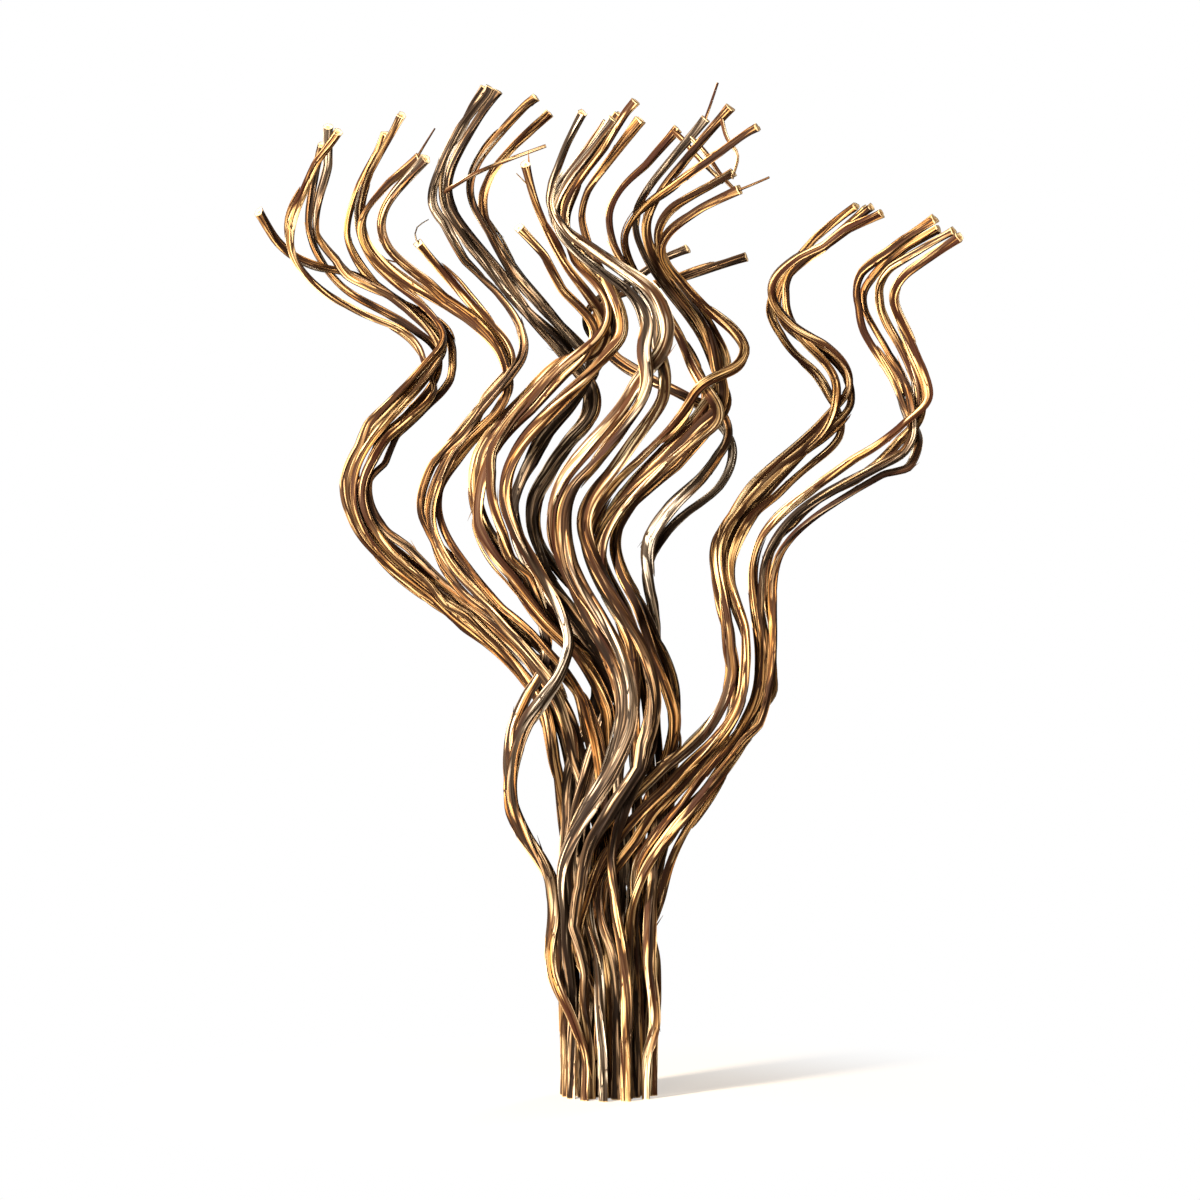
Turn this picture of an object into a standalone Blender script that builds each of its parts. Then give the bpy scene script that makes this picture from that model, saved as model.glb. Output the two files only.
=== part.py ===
"""Curly coconut sticks: a bunch of curled, fluted plant stems that stands on its sawn ends.

Every stem is one solid. Stems that curl together form a lock, which has one route of bends, and each
stem of the lock keeps its own lane beside that route, then curls to its own tip. The feet are packed in
rings, and the stems are then pressed apart until they only touch.

Lengths in the tables are millimetres: side runs to the right, height up and back away from the front.
"""

import math
from dataclasses import dataclass

import bmesh
import bpy
import numpy as np
from mathutils import Vector

MM = 0.001

# Sizes of a stem
FOOT_RADIUS = (3.5, 3.5, 3.6, 4.1)  # by ring of the bundle
TRUNK_RADIUS = 3.9
CROWN_RADIUS = 3.1
TIP_RADIUS = 3.0
TIP_SWELL = 0.35
TRUNK_TOP = 160.0
CROWN_START = 330.0
CROWN_END = 430.0
TIPS_START = 510.0
FOOT_BLEND = 60.0  # height over which a foot takes half of its trunk's swell
TIP_CUT_SLOPE = 0.35

# Bundle of feet: ring radius, and the angles from the front, positive to the right
RING_RADIUS = (0.0, 8.9, 17.6, 26.2)
LEAST_FOOT = 25.0
STRAIGHT_FOOT = 75.0

# Flutes of a stem: ridges and valleys by turns round it, turning slowly along it
SIDES = 7
RINGS = 32  # rings of corners along a stem
VALLEY_DEPTH = 0.17
VALLEY_SWAY = 0.05
FLATNESS = 0.95
SWAY_LENGTH = 45.0
FLUTE_PITCH = 520.0  # length of one full turn of the flutes
BEND_SHARE = 60.0  # length of straight stem that counts as much as one radian of bend

# Pressing the stems apart
CLEARANCE = 0.3
PRESS_ROUNDS = 900
SMOOTH_ROUNDS = 640
PULL_BACK = 0.02  # share of its shift that a stem gives back in each smoothing round
PAIR_ROUNDS = 20  # rounds between two searches for near pairs
LONGEST_MOVE = 2.0
REACH = 16.0
SEED = 11

# Side shoots
SHOOT_SIDES = 5
SHOOT_TAPER = 0.45


@dataclass(frozen=True)
class Lock:
    """Stems that curl together: the bends of their route, how far back they lie and how they twist."""

    bends: tuple  # (side, height) of each bend, from the waist up
    back: tuple  # how far back the route lies at its first and last bend
    swing: float  # how far it waves back and forth as it climbs
    phase: float  # where that wave starts, in degrees
    turn: float  # how far the lanes turn round the route on the way up, in degrees
    joins: int  # first bend that the stems follow, after their straight feet
    trunk: float = TRUNK_RADIUS
    crown: float = CROWN_RADIUS


@dataclass(frozen=True)
class Stem:
    """One stem: its lock and lane, its foot in the bundle, its curl, its tip and its tone."""

    lock: str
    lane: tuple  # (side, back) beside the route, in stem widths
    foot: tuple  # (ring, angle from the front in degrees)
    curl: tuple  # (side, height) of each bend above the lock's route, the last one being the tip
    tip_back: float
    tone: str
    low: tuple = ()  # (side, back, height) of bends below the waist, on a stem that leans out there


@dataclass(frozen=True)
class Shoot:
    """A thin side shoot that grew on a stem: its points as (side, height, back) from where it leaves."""

    stem: str
    below_tip: float
    points: tuple
    radius: float


WAVE_RISE = 210.0  # height of one full wave back and forth
SWING_FULL = 400.0  # height at which that wave has its full swing
TIP_DRIFT = 1.3  # how late a stem leaves its lock's depth for that of its tip
GATHERED = (110.0, 240.0)  # heights between which the lanes spread out from the waist
GATHERED_LANE = 0.45  # share of its full distance that a lane keeps at the waist

LOCKS = {
    "far_left": Lock(
        ((-17, 112), (-22, 144), (-26, 174), (-26, 207), (-35, 233), (-56, 260), (-86, 284),
         (-119, 311), (-142, 334), (-150, 355), (-144, 379), (-125, 403), (-107, 424)),
        (14, 34), 22, 30, 150, 3),
    "left": Lock(
        ((-15, 112), (-19, 145), (-17, 181), (-14, 211), (-21, 234), (-38, 258), (-58, 280),
         (-82, 302), (-100, 326), (-106, 349), (-96, 373), (-77, 396), (-62, 415)),
        (6, -22), 20, 200, 130, 3),
    "dark": Lock(
        ((-19, 113), (-19, 145), (-16, 176), (-8, 204), (2, 229), (2, 250), (-9, 274),
         (-29, 298), (-45, 321), (-51, 342), (-44, 367), (-29, 391), (-14, 411)),
        (-14, 40), 12, 60, 100, 1, trunk=4.3, crown=4.3),
    "inner_left": Lock(
        ((-9, 113), (-9, 146), (-4, 181), (2, 211), (-2, 238), (-17, 264), (-38, 289),
         (-58, 316), (-71, 341), (-73, 364), (-64, 387), (-43, 409), (-23, 428)),
        (0, -34), 9, 90, 80, 3, crown=4.3),
    "front_left": Lock(
        ((-25, 117), (-35, 140), (-49, 162), (-57, 189), (-51, 222), (-37, 248), (-30, 271),
         (-37, 295), (-52, 319), (-63, 342), (-66, 366), (-57, 387), (-37, 410), (-17, 429)),
        (-9, -46), 6, 0, 60, 0, trunk=4.7, crown=4.7),
    "front": Lock(
        ((-20, 108), (-23, 130), (-18, 151), (-4, 177), (9, 202), (16, 229), (12, 255),
         (-3, 284), (-16, 307), (-24, 330), (-23, 354), (-7, 375), (12, 398), (25, 421)),
        (-26, -62), 6, 0, 60, 0, trunk=5.0, crown=4.9),
    "right_centre": Lock(
        ((13, 112), (17, 145), (22, 181), (24, 216), (21, 252), (10, 287), (-2, 311),
         (-4, 332), (8, 352), (27, 373), (48, 394), (63, 412)),
        (6, 4), 16, 240, 140, 3, crown=3.6),
    "grey_arch": Lock(
        ((2, 115), (1, 144), (10, 173), (22, 198), (28, 224), (27, 252), (24, 286), (20, 317),
         (24, 336), (43, 355), (62, 373), (72, 389), (63, 405), (43, 417)),
        (-24, 46), 5, 0, 0, 0, trunk=4.9, crown=4.1),
    "back": Lock(
        ((20, 111), (27, 143), (35, 179), (40, 215), (35, 251), (28, 285), (23, 309),
         (30, 329), (50, 346), (70, 365), (75, 384), (62, 402), (43, 417)),
        (22, 66), 20, 0, 90, 2, crown=3.6),
    "inner_right": Lock(
        ((-10, 115), (-3, 144), (18, 171), (45, 196), (67, 221), (76, 245), (75, 272),
         (69, 296), (67, 320), (76, 340), (94, 360), (115, 379), (134, 397)),
        (-22, 30), 18, 180, 120, 0, trunk=4.2, crown=3.2),
    "outer_right": Lock(
        ((18, 114), (27, 143), (48, 176), (71, 205), (89, 234), (93, 261), (91, 291),
         (91, 317), (104, 339), (130, 358), (158, 374), (176, 390)),
        (-6, -26), 20, 20, 120, 0, crown=3.2),
}

STEMS = {
    "stem_far_left_1": Stem("far_left", (-1.0, 0.5), (3, -153),
        ((-97, 441), (-110, 461), (-134, 479), (-158, 490), (-178, 493), (-192, 500), (-208, 525)),
        30, "brown"),
    "stem_far_left_2": Stem("far_left", (0.1, 0.6), (3, -172),
        ((-104, 442), (-117, 457), (-140, 470), (-161, 482), (-181, 512), (-181, 531), (-173, 567)),
        78, "brown"),
    "stem_far_left_3": Stem("far_left", (-0.1, -0.5), (2, -141),
        ((-102, 444), (-114, 461), (-140, 478), (-161, 493), (-174, 521), (-171, 537), (-166, 571)),
        22, "grey"),
    "stem_far_left_4": Stem("far_left", (1.0, -0.4), (2, -116),
        ((-112, 435), (-118, 450), (-134, 460), (-158, 469), (-186, 495), (-189, 510), (-183, 531),
         (-159, 568)), 4, "tan"),
    "stem_far_left_5": Stem("far_left", (1.0, 0.6), (1, -154),
        ((-95, 442), (-102, 457), (-122, 470), (-143, 484), (-160, 512), (-155, 531), (-134, 574)),
        92, "brown"),
    "stem_far_left_6": Stem("far_left", (-1.1, -0.5), (2, -167),
        ((-99, 444), (-109, 463), (-128, 479), (-144, 494), (-153, 522), (-143, 543), (-125, 578)),
        46, "tan"),
    "stem_left_1": Stem("left", (0.5, 0.5), (1, -51),
        ((-60, 431), (-67, 446), (-85, 460), (-107, 474), (-131, 490), (-147, 514), (-135, 530),
         (-110, 551)), -22, "brown"),
    "stem_left_2": Stem("left", (0.5, -0.5), (1, -103),
        ((-61, 434), (-72, 451), (-93, 469), (-113, 484), (-128, 498), (-133, 510), (-128, 524),
         (-106, 547)), -62, "grey"),
    "stem_left_3": Stem("left", (-0.5, 0.5), (2, 167),
        ((-56, 432), (-61, 447), (-74, 460), (-88, 475), (-100, 488), (-111, 500)), -44, "tan"),
    "stem_left_4": Stem("left", (-0.5, -0.5), (1, 154),
        ((-52, 433), (-51, 449), (-60, 464), (-75, 482), (-100, 514), (-105, 527), (-99, 548),
         (-71, 595)), 8, "grey"),
    "stem_dark_1": Stem("dark", (0.6, 0.5), (3, -115),
        ((-12, 427), (-29, 451), (-50, 474), (-71, 497), (-97, 535), (-94, 553), (-67, 597)),
        62, "dark"),
    "stem_dark_2": Stem("dark", (-0.7, 0.5), (3, -134),
        ((-7, 425), (-19, 447), (-40, 471), (-58, 493), (-78, 532), (-74, 548), (-36, 589)),
        98, "dark"),
    "stem_dark_3": Stem("dark", (0.7, -0.5), (2, -90),
        ((-16, 425), (-36, 449), (-54, 469), (-72, 491), (-100, 532), (-97, 551), (-74, 598)),
        26, "grey",
        low=((-18, -5, 60), (-20, -9, 95))),
    "stem_dark_4": Stem("dark", (-0.5, -0.5), (2, -64),
        ((-11, 429), (-29, 453), (-47, 475), (-64, 499), (-83, 535), (-78, 553), (-41, 591)),
        44, "grey"),
    "stem_inner_left_1": Stem("inner_left", (-0.9, 0.3), (0, 0),
        ((-6, 442), (-2, 456), (-10, 470), (-23, 485), (-41, 518), (-49, 545)), -58, "brown"),
    "stem_inner_left_2": Stem("inner_left", (0.1, -0.2), (1, 103),
        ((-11, 438), (-7, 452), (-17, 465), (-30, 481), (-51, 508)), -74, "golden"),
    "stem_inner_left_3": Stem("inner_left", (1.1, 0.4), (1, 51),
        ((-2, 439), (5, 457), (-1, 474), (-12, 490), (-31, 516), (-27, 529), (5, 577)), -20, "grey"),
    "stem_front_left_1": Stem("front_left", (-0.5, 0.0), (3, -96),
        ((-4, 445), (2, 461), (-4, 476), (-16, 490), (-27, 515), (-20, 532), (16, 582)), -44, "tan",
        low=((-27, 3, 60), (-28, -3, 95))),
    "stem_front_left_2": Stem("front_left", (0.5, 0.0), (3, -32),
        ((-5, 439), (5, 449), (3, 467), (-6, 485), (-17, 515), (-10, 531), (17, 570)), -72, "golden",
        low=((-18, -26, 45), (-25, -24, 70), (-28, -15, 97))),
    "stem_front_1": Stem("front", (-0.9, 0.0), (3, -77),
        ((31, 447), (26, 467), (5, 483), (-17, 498), (-37, 521), (-32, 536), (-15, 570)), -96, "grey",
        low=((-26, -8, 60), (-25, -15, 88))),
    "stem_front_2": Stem("front", (0.1, -0.3), (3, -58),
        ((23, 438), (26, 457), (18, 473), (-1, 485), (-31, 509), (-30, 523), (2, 572)), -60, "grey",
        low=((-21, -17, 60), (-21, -23, 88))),
    "stem_front_3": Stem("front", (0.9, 0.4), (2, -39),
        ((27, 441), (29, 458), (18, 476), (-2, 490), (-33, 516), (-31, 530), (-1, 571)), -30, "grey",
        low=((-13, -19, 60), (-14, -26, 88))),
    "stem_right_centre_1": Stem("right_centre", (0.8, 0.4), (3, 150),
        ((58, 430), (48, 455), (33, 476), (20, 497), (15, 514), (21, 532), (57, 579)), 30, "dark"),
    "stem_right_centre_2": Stem("right_centre", (0.3, -0.4), (3, 131),
        ((63, 430), (55, 454), (39, 475), (25, 496), (20, 513), (27, 530), (71, 581)), -10, "brown"),
    "stem_right_centre_3": Stem("right_centre", (1.1, -0.5), (2, 90),
        ((54, 426), (42, 451), (27, 472), (14, 493), (9, 507), (18, 522), (42, 539), (86, 566)),
        -40, "golden"),
    "stem_right_centre_4": Stem("right_centre", (-0.3, 0.4), (2, 116),
        ((71, 429), (64, 451), (47, 472), (31, 490), (26, 505), (33, 520), (74, 545)), 18, "pale"),
    "stem_right_centre_5": Stem("right_centre", (-1.0, -0.3), (3, 56),
        ((80, 428), (83, 437), (70, 453), (54, 468), (31, 496), (35, 508), (75, 534)), -24, "golden",
        low=((27, -13, 45), (21, -19, 85))),
    "stem_right_centre_6": Stem("right_centre", (-0.4, 1.2), (2, 141),
        ((56, 434), (37, 460), (20, 482), (6, 504), (2, 520), (6, 536), (44, 575)), 64, "brown"),
    "stem_back_1": Stem("back", (0.0, 0.0), (3, 169),
        ((19, 431), (-4, 446), (-14, 458), (-8, 473), (10, 486), (49, 508)), 112, "dark"),
    "stem_grey_arch": Stem("grey_arch", (0.0, 0.0), (3, 21),
        ((19, 429), (-2, 442), (-11, 456), (-5, 469), (13, 478), (83, 501)), 88, "grey"),
    "stem_inner_right_1": Stem("inner_right", (0.9, 0.3), (2, -13),
        ((136, 413), (128, 430), (111, 443), (101, 459), (98, 475), (104, 490), (148, 528)),
        62, "brown",
        low=((-7, -19, 62), (-15, -28, 97))),
    "stem_inner_right_2": Stem("inner_right", (0.1, -0.5), (3, -7),
        ((141, 417), (135, 434), (117, 450), (107, 465), (104, 477), (114, 492), (157, 526)),
        22, "grey",
        low=((-6, -27, 50), (-11, -28, 82))),
    "stem_inner_right_3": Stem("inner_right", (-0.9, 0.2), (1, 0),
        ((145, 419), (139, 433), (121, 446), (107, 458), (98, 471), (98, 484), (160, 521)),
        -2, "golden"),
    "stem_inner_right_4": Stem("inner_right", (-0.1, 0.6), (2, 13),
        ((144, 420), (137, 434), (119, 447), (104, 462), (101, 474), (108, 488), (153, 525)),
        38, "tan"),
    "stem_outer_right_1": Stem("outer_right", (0.9, 0.3), (2, 39),
        ((172, 409), (166, 429), (152, 451), (145, 469), (147, 482), (188, 514)), -16, "brown"),
    "stem_outer_right_2": Stem("outer_right", (-0.2, 0.5), (3, 90),
        ((181, 409), (174, 433), (161, 456), (154, 470), (158, 482), (198, 508)), -46, "tan"),
    "stem_outer_right_3": Stem("outer_right", (-1.0, -0.1), (3, 111),
        ((187, 408), (182, 431), (173, 452), (165, 469), (170, 480), (199, 503)), -70, "golden"),
    "stem_outer_right_4": Stem("outer_right", (0.1, -0.5), (2, 64),
        ((177, 409), (170, 431), (157, 452), (149, 470), (152, 483), (195, 511)), 8, "brown"),
}

SHOOTS = (
    Shoot("stem_left_1", 4.0, ((5, 8, -2), (12, 19, -3)), 1.1),
    Shoot("stem_dark_3", 70.0, ((20, 11, -8), (40, 19, -12), (62, 27, -14)), 1.4),
    Shoot("stem_right_centre_1", 2.0, ((4, 11, -2), (8, 23, -3)), 1.0),
    Shoot("stem_right_centre_5", 3.0, ((8, 3, -3), (20, 8, -5)), 1.0),
)

TONES = {
    "golden": ((0.47, 0.26, 0.09), 0.62),
    "tan": ((0.38, 0.22, 0.09), 0.66),
    "brown": ((0.22, 0.11, 0.045), 0.7),
    "dark": ((0.10, 0.06, 0.035), 0.75),
    "grey": ((0.24, 0.19, 0.15), 0.8),
    "pale": ((0.62, 0.44, 0.24), 0.6),
}


def unit(vectors):
    """The same vectors with length one."""
    return vectors / np.linalg.norm(vectors, axis=-1, keepdims=True)


def arc_lengths(points):
    """How far along the line each of its points lies."""
    steps = np.linalg.norm(np.diff(points, axis=0), axis=1)
    return np.concatenate([[0.0], np.cumsum(steps)])


def smooth_line(points, step=2.5, softening=5):
    """A close line of points on a smooth curve through the given ones."""
    padded = np.vstack([2 * points[0] - points[1], points, 2 * points[-1] - points[-2]])
    line = []
    for before, start, end, after in zip(padded, padded[1:], padded[2:], padded[3:]):
        times = np.cumsum([0.0] + [math.sqrt(np.linalg.norm(b - a)) for a, b in
                                   ((before, start), (start, end), (end, after))])
        t0, t1, t2, t3 = times
        for t in np.linspace(t1, t2, max(3, int(np.linalg.norm(end - start) / step)), endpoint=False):
            a = (before * (t1 - t) + start * (t - t0)) / (t1 - t0)
            b = (start * (t2 - t) + end * (t - t1)) / (t2 - t1)
            c = (end * (t3 - t) + after * (t - t2)) / (t3 - t2)
            ab = (a * (t2 - t) + b * (t - t0)) / (t2 - t0)
            bc = (b * (t3 - t) + c * (t - t1)) / (t3 - t1)
            line.append((ab * (t2 - t) + bc * (t - t1)) / (t2 - t1))
    line.append(points[-1])
    line = np.array(line)
    even = np.linspace(0, arc_lengths(line)[-1], int(arc_lengths(line)[-1] / step))
    line = np.stack([np.interp(even, arc_lengths(line), line[:, k]) for k in range(3)], axis=1)
    for _ in range(softening):
        line[1:-1] = 0.5 * line[1:-1] + 0.25 * (line[:-2] + line[2:])
    return line


def pick_rings(line):
    """The points of a close line that the rings stand on: closer together where it bends."""
    along = unit(np.diff(line, axis=0))
    turning = np.arccos(np.clip((along[1:] * along[:-1]).sum(axis=1), -1, 1))
    steps = np.linalg.norm(np.diff(line, axis=0), axis=1)
    weight = steps / BEND_SHARE
    weight[1:] += turning
    total = np.concatenate([[0.0], np.cumsum(weight)])
    wanted = np.linspace(0, total[-1], RINGS)
    return np.stack([np.interp(wanted, total, line[:, k]) for k in range(3)], axis=1)


def radius_at(height, stem):
    """Stem radius at a height: foot, thick trunk, crown, then the slender tip."""
    lock = LOCKS[stem.lock]
    foot = FOOT_RADIUS[stem.foot[0]]
    return float(np.interp(
        height,
        (0, STRAIGHT_FOOT, STRAIGHT_FOOT + FOOT_BLEND, TRUNK_TOP, CROWN_START, CROWN_END, TIPS_START),
        (foot, foot, 0.5 * (foot + lock.trunk), lock.trunk, lock.crown, lock.crown, TIP_RADIUS),
    ))


def foot_place(foot):
    """Side and back of a foot in the bundle."""
    ring, angle = foot
    radius = RING_RADIUS[ring]
    return radius * math.sin(math.radians(angle)), -radius * math.cos(math.radians(angle))


def route_of(stem):
    """The planned route of one stem, from its foot to its tip."""
    lock = LOCKS[stem.lock]
    side, back = foot_place(stem.foot)
    points = [(side, back, height) for height in (0.0, LEAST_FOOT, STRAIGHT_FOOT)]
    if stem.low:
        points[2:] = stem.low
    bends = np.array(lock.bends, float)
    last = len(bends) - 1
    directions = unit(np.gradient(bends, axis=0))
    for index in range(lock.joins, last + 1):
        share = index / last
        height = bends[index, 1]
        width = 2 * radius_at(height, stem) + CLEARANCE
        turn = math.radians(lock.turn) * (share - 1)
        spread = np.interp(height, GATHERED, (GATHERED_LANE, 1.0))
        across = spread * (stem.lane[0] * math.cos(turn) - stem.lane[1] * math.sin(turn))
        deep = spread * (stem.lane[0] * math.sin(turn) + stem.lane[1] * math.cos(turn))
        wave = math.sin(2 * math.pi * height / WAVE_RISE + math.radians(lock.phase))
        depth = np.interp(share, (0, 1), lock.back) + lock.swing * wave * height / SWING_FULL
        points.append((
            bends[index, 0] + across * width * directions[index, 1],
            depth + deep * width,
            height - across * width * directions[index, 0],
        ))
    _, start, start_height = points[-1]
    for count, (side, height) in enumerate(stem.curl, start=1):
        share = count / len(stem.curl)
        climbed = 2 * math.pi * (height - start_height) / WAVE_RISE
        depth = start + (stem.tip_back - start) * share ** TIP_DRIFT + lock.swing * math.sin(climbed)
        points.append((side, depth, height))
    return np.array(points)


def closest_shares(a0, a1, b0, b1):
    """How far along each of two segments their closest points lie."""
    along_a, along_b, between = a1 - a0, b1 - b0, a0 - b0
    aa = (along_a * along_a).sum(axis=1)
    bb = (along_b * along_b).sum(axis=1)
    ab = (along_a * along_b).sum(axis=1)
    a_between = (along_a * between).sum(axis=1)
    b_between = (along_b * between).sum(axis=1)
    spread = np.maximum(aa * bb - ab * ab, 1e-9)
    on_a = np.clip((ab * b_between - a_between * bb) / spread, 0, 1)
    on_b = (ab * on_a + b_between) / bb
    on_a = np.where(on_b < 0, np.clip(-a_between / aa, 0, 1), on_a)
    on_a = np.where(on_b > 1, np.clip((ab - a_between) / aa, 0, 1), on_a)
    return on_a, np.clip(on_b, 0, 1)


def near_pairs(nodes, stem_of, reach):
    """Pairs of segments of different stems whose middles and lengths bring them within reach."""
    middles = 0.5 * (nodes[:, :-1] + nodes[:, 1:]).reshape(-1, 3)
    halves = 0.5 * np.linalg.norm(nodes[:, 1:] - nodes[:, :-1], axis=2).reshape(-1)
    first, second = np.triu_indices(len(middles), 1)
    keep = stem_of[first] != stem_of[second]
    first, second = first[keep], second[keep]
    apart = np.linalg.norm(middles[first] - middles[second], axis=1)
    near = apart < halves[first] + halves[second] + reach
    return first[near], second[near]


def press_apart(nodes, radii):
    """Moves the stems apart, smoothly along each and never at the foot, until all have clearance."""
    count = len(nodes)
    stem_of = np.repeat(np.arange(count), RINGS - 1)
    ring_of = np.tile(np.arange(RINGS - 1), count)
    planned = nodes.copy()
    for step in range(PRESS_ROUNDS):
        if step % PAIR_ROUNDS == 0:
            first, second = near_pairs(nodes, stem_of, REACH)
            rows = np.stack([stem_of[first], stem_of[second]])
            cols = np.stack([ring_of[first], ring_of[second]])
        ends = [(nodes[rows[k], cols[k]], nodes[rows[k], cols[k] + 1]) for k in (0, 1)]
        shares = closest_shares(*ends[0], *ends[1])
        touching = [end[0] + (end[1] - end[0]) * share[:, None] for end, share in zip(ends, shares)]
        reach = [
            np.maximum(radii[rows[k], cols[k]], radii[rows[k], cols[k] + 1]) for k in (0, 1)
        ]
        apart = touching[0] - touching[1]
        distance = np.linalg.norm(apart, axis=1)
        short = reach[0] + reach[1] + CLEARANCE - distance
        hit = short > 0
        if not hit.any():
            break
        push = apart[hit] / np.maximum(distance[hit], 1e-6)[:, None] * (0.5 * short[hit])[:, None]
        moves = np.zeros_like(nodes)
        for k, sign in ((0, 1), (1, -1)):
            share = shares[k][hit][:, None]
            np.add.at(moves, (rows[k][hit], cols[k][hit]), sign * push * (1 - share))
            np.add.at(moves, (rows[k][hit], cols[k][hit] + 1), sign * push * share)
        longest = np.linalg.norm(moves, axis=2, keepdims=True)
        nodes = nodes + moves * np.minimum(1, LONGEST_MOVE / np.maximum(longest, 1e-6))
        shift = nodes - planned
        if step < SMOOTH_ROUNDS:
            shift *= 1 - PULL_BACK
            shift[:, 1:-1] = 0.5 * shift[:, 1:-1] + 0.25 * (shift[:, :-2] + shift[:, 2:])
        shift[:, :2] = 0
        nodes = planned + shift
    return nodes


def turning_frames(nodes):
    """Two cross directions at every node, carried along the line without spinning round it."""
    along = unit(np.gradient(nodes, axis=0))
    along[0] = (0, 0, 1)
    first = np.array([1.0, 0.0, 0.0])
    frames = []
    for direction in along:
        first = first - direction * first.dot(direction)
        first = first / np.linalg.norm(first)
        frames.append((first.copy(), np.cross(direction, first)))
    return along, frames


def fluted_rings(nodes, radii, draw):
    """Ring corners of a stem: ridges and valleys that turn slowly round it, on a mildly flat section."""
    along, frames = turning_frames(nodes)
    distances = arc_lengths(nodes)
    start = draw.uniform(0, 2 * math.pi)
    hand = draw.choice((-1, 1))
    valley_phase = draw.uniform(0, 2 * math.pi, SIDES)
    rings = []
    for node, radius, distance, (right, up) in zip(nodes, radii, distances, frames):
        spin = start + hand * 2 * math.pi * distance / FLUTE_PITCH
        ring = []
        for corner in range(SIDES):
            angle = 2 * math.pi * corner / SIDES
            depth = 0.0
            if corner % 2:
                sway = math.sin(distance / SWAY_LENGTH + valley_phase[corner])
                depth = VALLEY_DEPTH + VALLEY_SWAY * sway
            wide = radius * (1 - depth) * math.cos(angle)
            thin = radius * (1 - depth) * math.sin(angle) * FLATNESS
            offset = right * (wide * math.cos(spin) - thin * math.sin(spin))
            offset = offset + up * (wide * math.sin(spin) + thin * math.cos(spin))
            ring.append(node + offset)
        rings.append(np.array(ring))
    rings[0][:, 2] = 0
    front = np.array([0.0, -1.0, 0.0])
    slope = (rings[-1] - nodes[-1]) @ front * TIP_CUT_SLOPE
    rings[-1] = rings[-1] - along[-1] * slope[:, None]
    return rings


def tube_mesh(name, rings):
    """A closed mesh through rings of corners, with a flat cap on both ends, in metres."""
    bm = bmesh.new()
    loops = [[bm.verts.new(Vector(corner) * MM) for corner in ring] for ring in rings]
    for lower, upper in zip(loops, loops[1:]):
        for index in range(len(lower)):
            after = (index + 1) % len(lower)
            quad = (lower[index], lower[after], upper[after], upper[index])
            across = (quad[0].co - quad[2].co).length < (quad[1].co - quad[3].co).length
            cut = (0, 1, 2), (0, 2, 3)
            other = (0, 1, 3), (1, 2, 3)
            for corners in cut if across else other:
                bm.faces.new([quad[corner] for corner in corners])
    bm.faces.new(reversed(loops[0]))
    bm.faces.new(loops[-1])
    bmesh.ops.recalc_face_normals(bm, faces=bm.faces)
    mesh = bpy.data.meshes.new(name)
    bm.to_mesh(mesh)
    bm.free()
    return mesh


def shoot_rings(shoot, nodes):
    """Rings of a side shoot that starts inside its stem and thins to its tip."""
    lengths = arc_lengths(nodes)
    start = np.array([np.interp(lengths[-1] - shoot.below_tip, lengths, axis) for axis in nodes.T])
    points = [start] + [start + np.array((side, back, height)) for side, height, back in shoot.points]
    line = smooth_line(np.array(points, float), step=1.5, softening=1)
    line = line[np.linspace(0, len(line) - 1, 2 * len(points)).astype(int)]
    _, frames = turning_frames(line)
    rings = []
    for index, (node, (right, up)) in enumerate(zip(line, frames)):
        radius = shoot.radius * (1 - SHOOT_TAPER * index / (len(line) - 1))
        angles = 2 * math.pi * np.arange(SHOOT_SIDES) / SHOOT_SIDES
        rings.append(node + radius * (np.outer(np.cos(angles), right) + np.outer(np.sin(angles), up)))
    return rings


def join_shoot(stem_object, shoot, nodes):
    """Joins a side shoot to its stem, so that both are one solid."""
    helper = bpy.data.objects.new("shoot", tube_mesh("shoot", shoot_rings(shoot, nodes)))
    helper.hide_render = True
    helper.display_type = "WIRE"
    bpy.context.collection.objects.link(helper)
    union = stem_object.modifiers.new("shoot", "BOOLEAN")
    union.operation = "UNION"
    union.solver = "EXACT"
    union.object = helper
    bpy.context.view_layer.update()
    evaluated = stem_object.evaluated_get(bpy.context.evaluated_depsgraph_get())
    joined = bpy.data.meshes.new_from_object(evaluated)
    stem_object.modifiers.remove(union)
    stem_object.data = joined
    bpy.data.objects.remove(helper)


def make_materials():
    """One weathered plant fibre material for each tone."""
    materials = {}
    for tone, (colour, roughness) in TONES.items():
        material = bpy.data.materials.new(f"{tone}_stem")
        material.use_nodes = True
        shader = material.node_tree.nodes["Principled BSDF"]
        shader.inputs["Base Color"].default_value = (*colour, 1)
        shader.inputs["Roughness"].default_value = roughness
        shader.inputs["Metallic"].default_value = 0
        materials[tone] = material
    return materials


def clear_scene():
    """Removes what the scene starts with."""
    for thing in list(bpy.data.objects):
        bpy.data.objects.remove(thing)


def main():
    """Builds every stem of the bunch."""
    clear_scene()
    materials = make_materials()
    draw = np.random.default_rng(SEED)
    nodes = np.array([pick_rings(smooth_line(route_of(stem))) for stem in STEMS.values()])
    radii = np.array([
        [radius_at(node[2], stem) for node in line]
        for stem, line in zip(STEMS.values(), nodes)
    ])
    radii[:, -2:] += (0.5 * TIP_SWELL, TIP_SWELL)
    nodes = press_apart(nodes, radii)
    for (name, stem), line, girth in zip(STEMS.items(), nodes, radii):
        mesh = tube_mesh(name, fluted_rings(line, girth, draw))
        piece = bpy.data.objects.new(name, mesh)
        bpy.context.collection.objects.link(piece)
        for shoot in SHOOTS:
            if shoot.stem == name:
                join_shoot(piece, shoot, line)
        piece.data.materials.clear()
        piece.data.materials.append(materials[stem.tone])
        piece.data.shade_smooth()
        piece.data.set_sharp_from_angle(angle=math.radians(50))


main()
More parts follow.
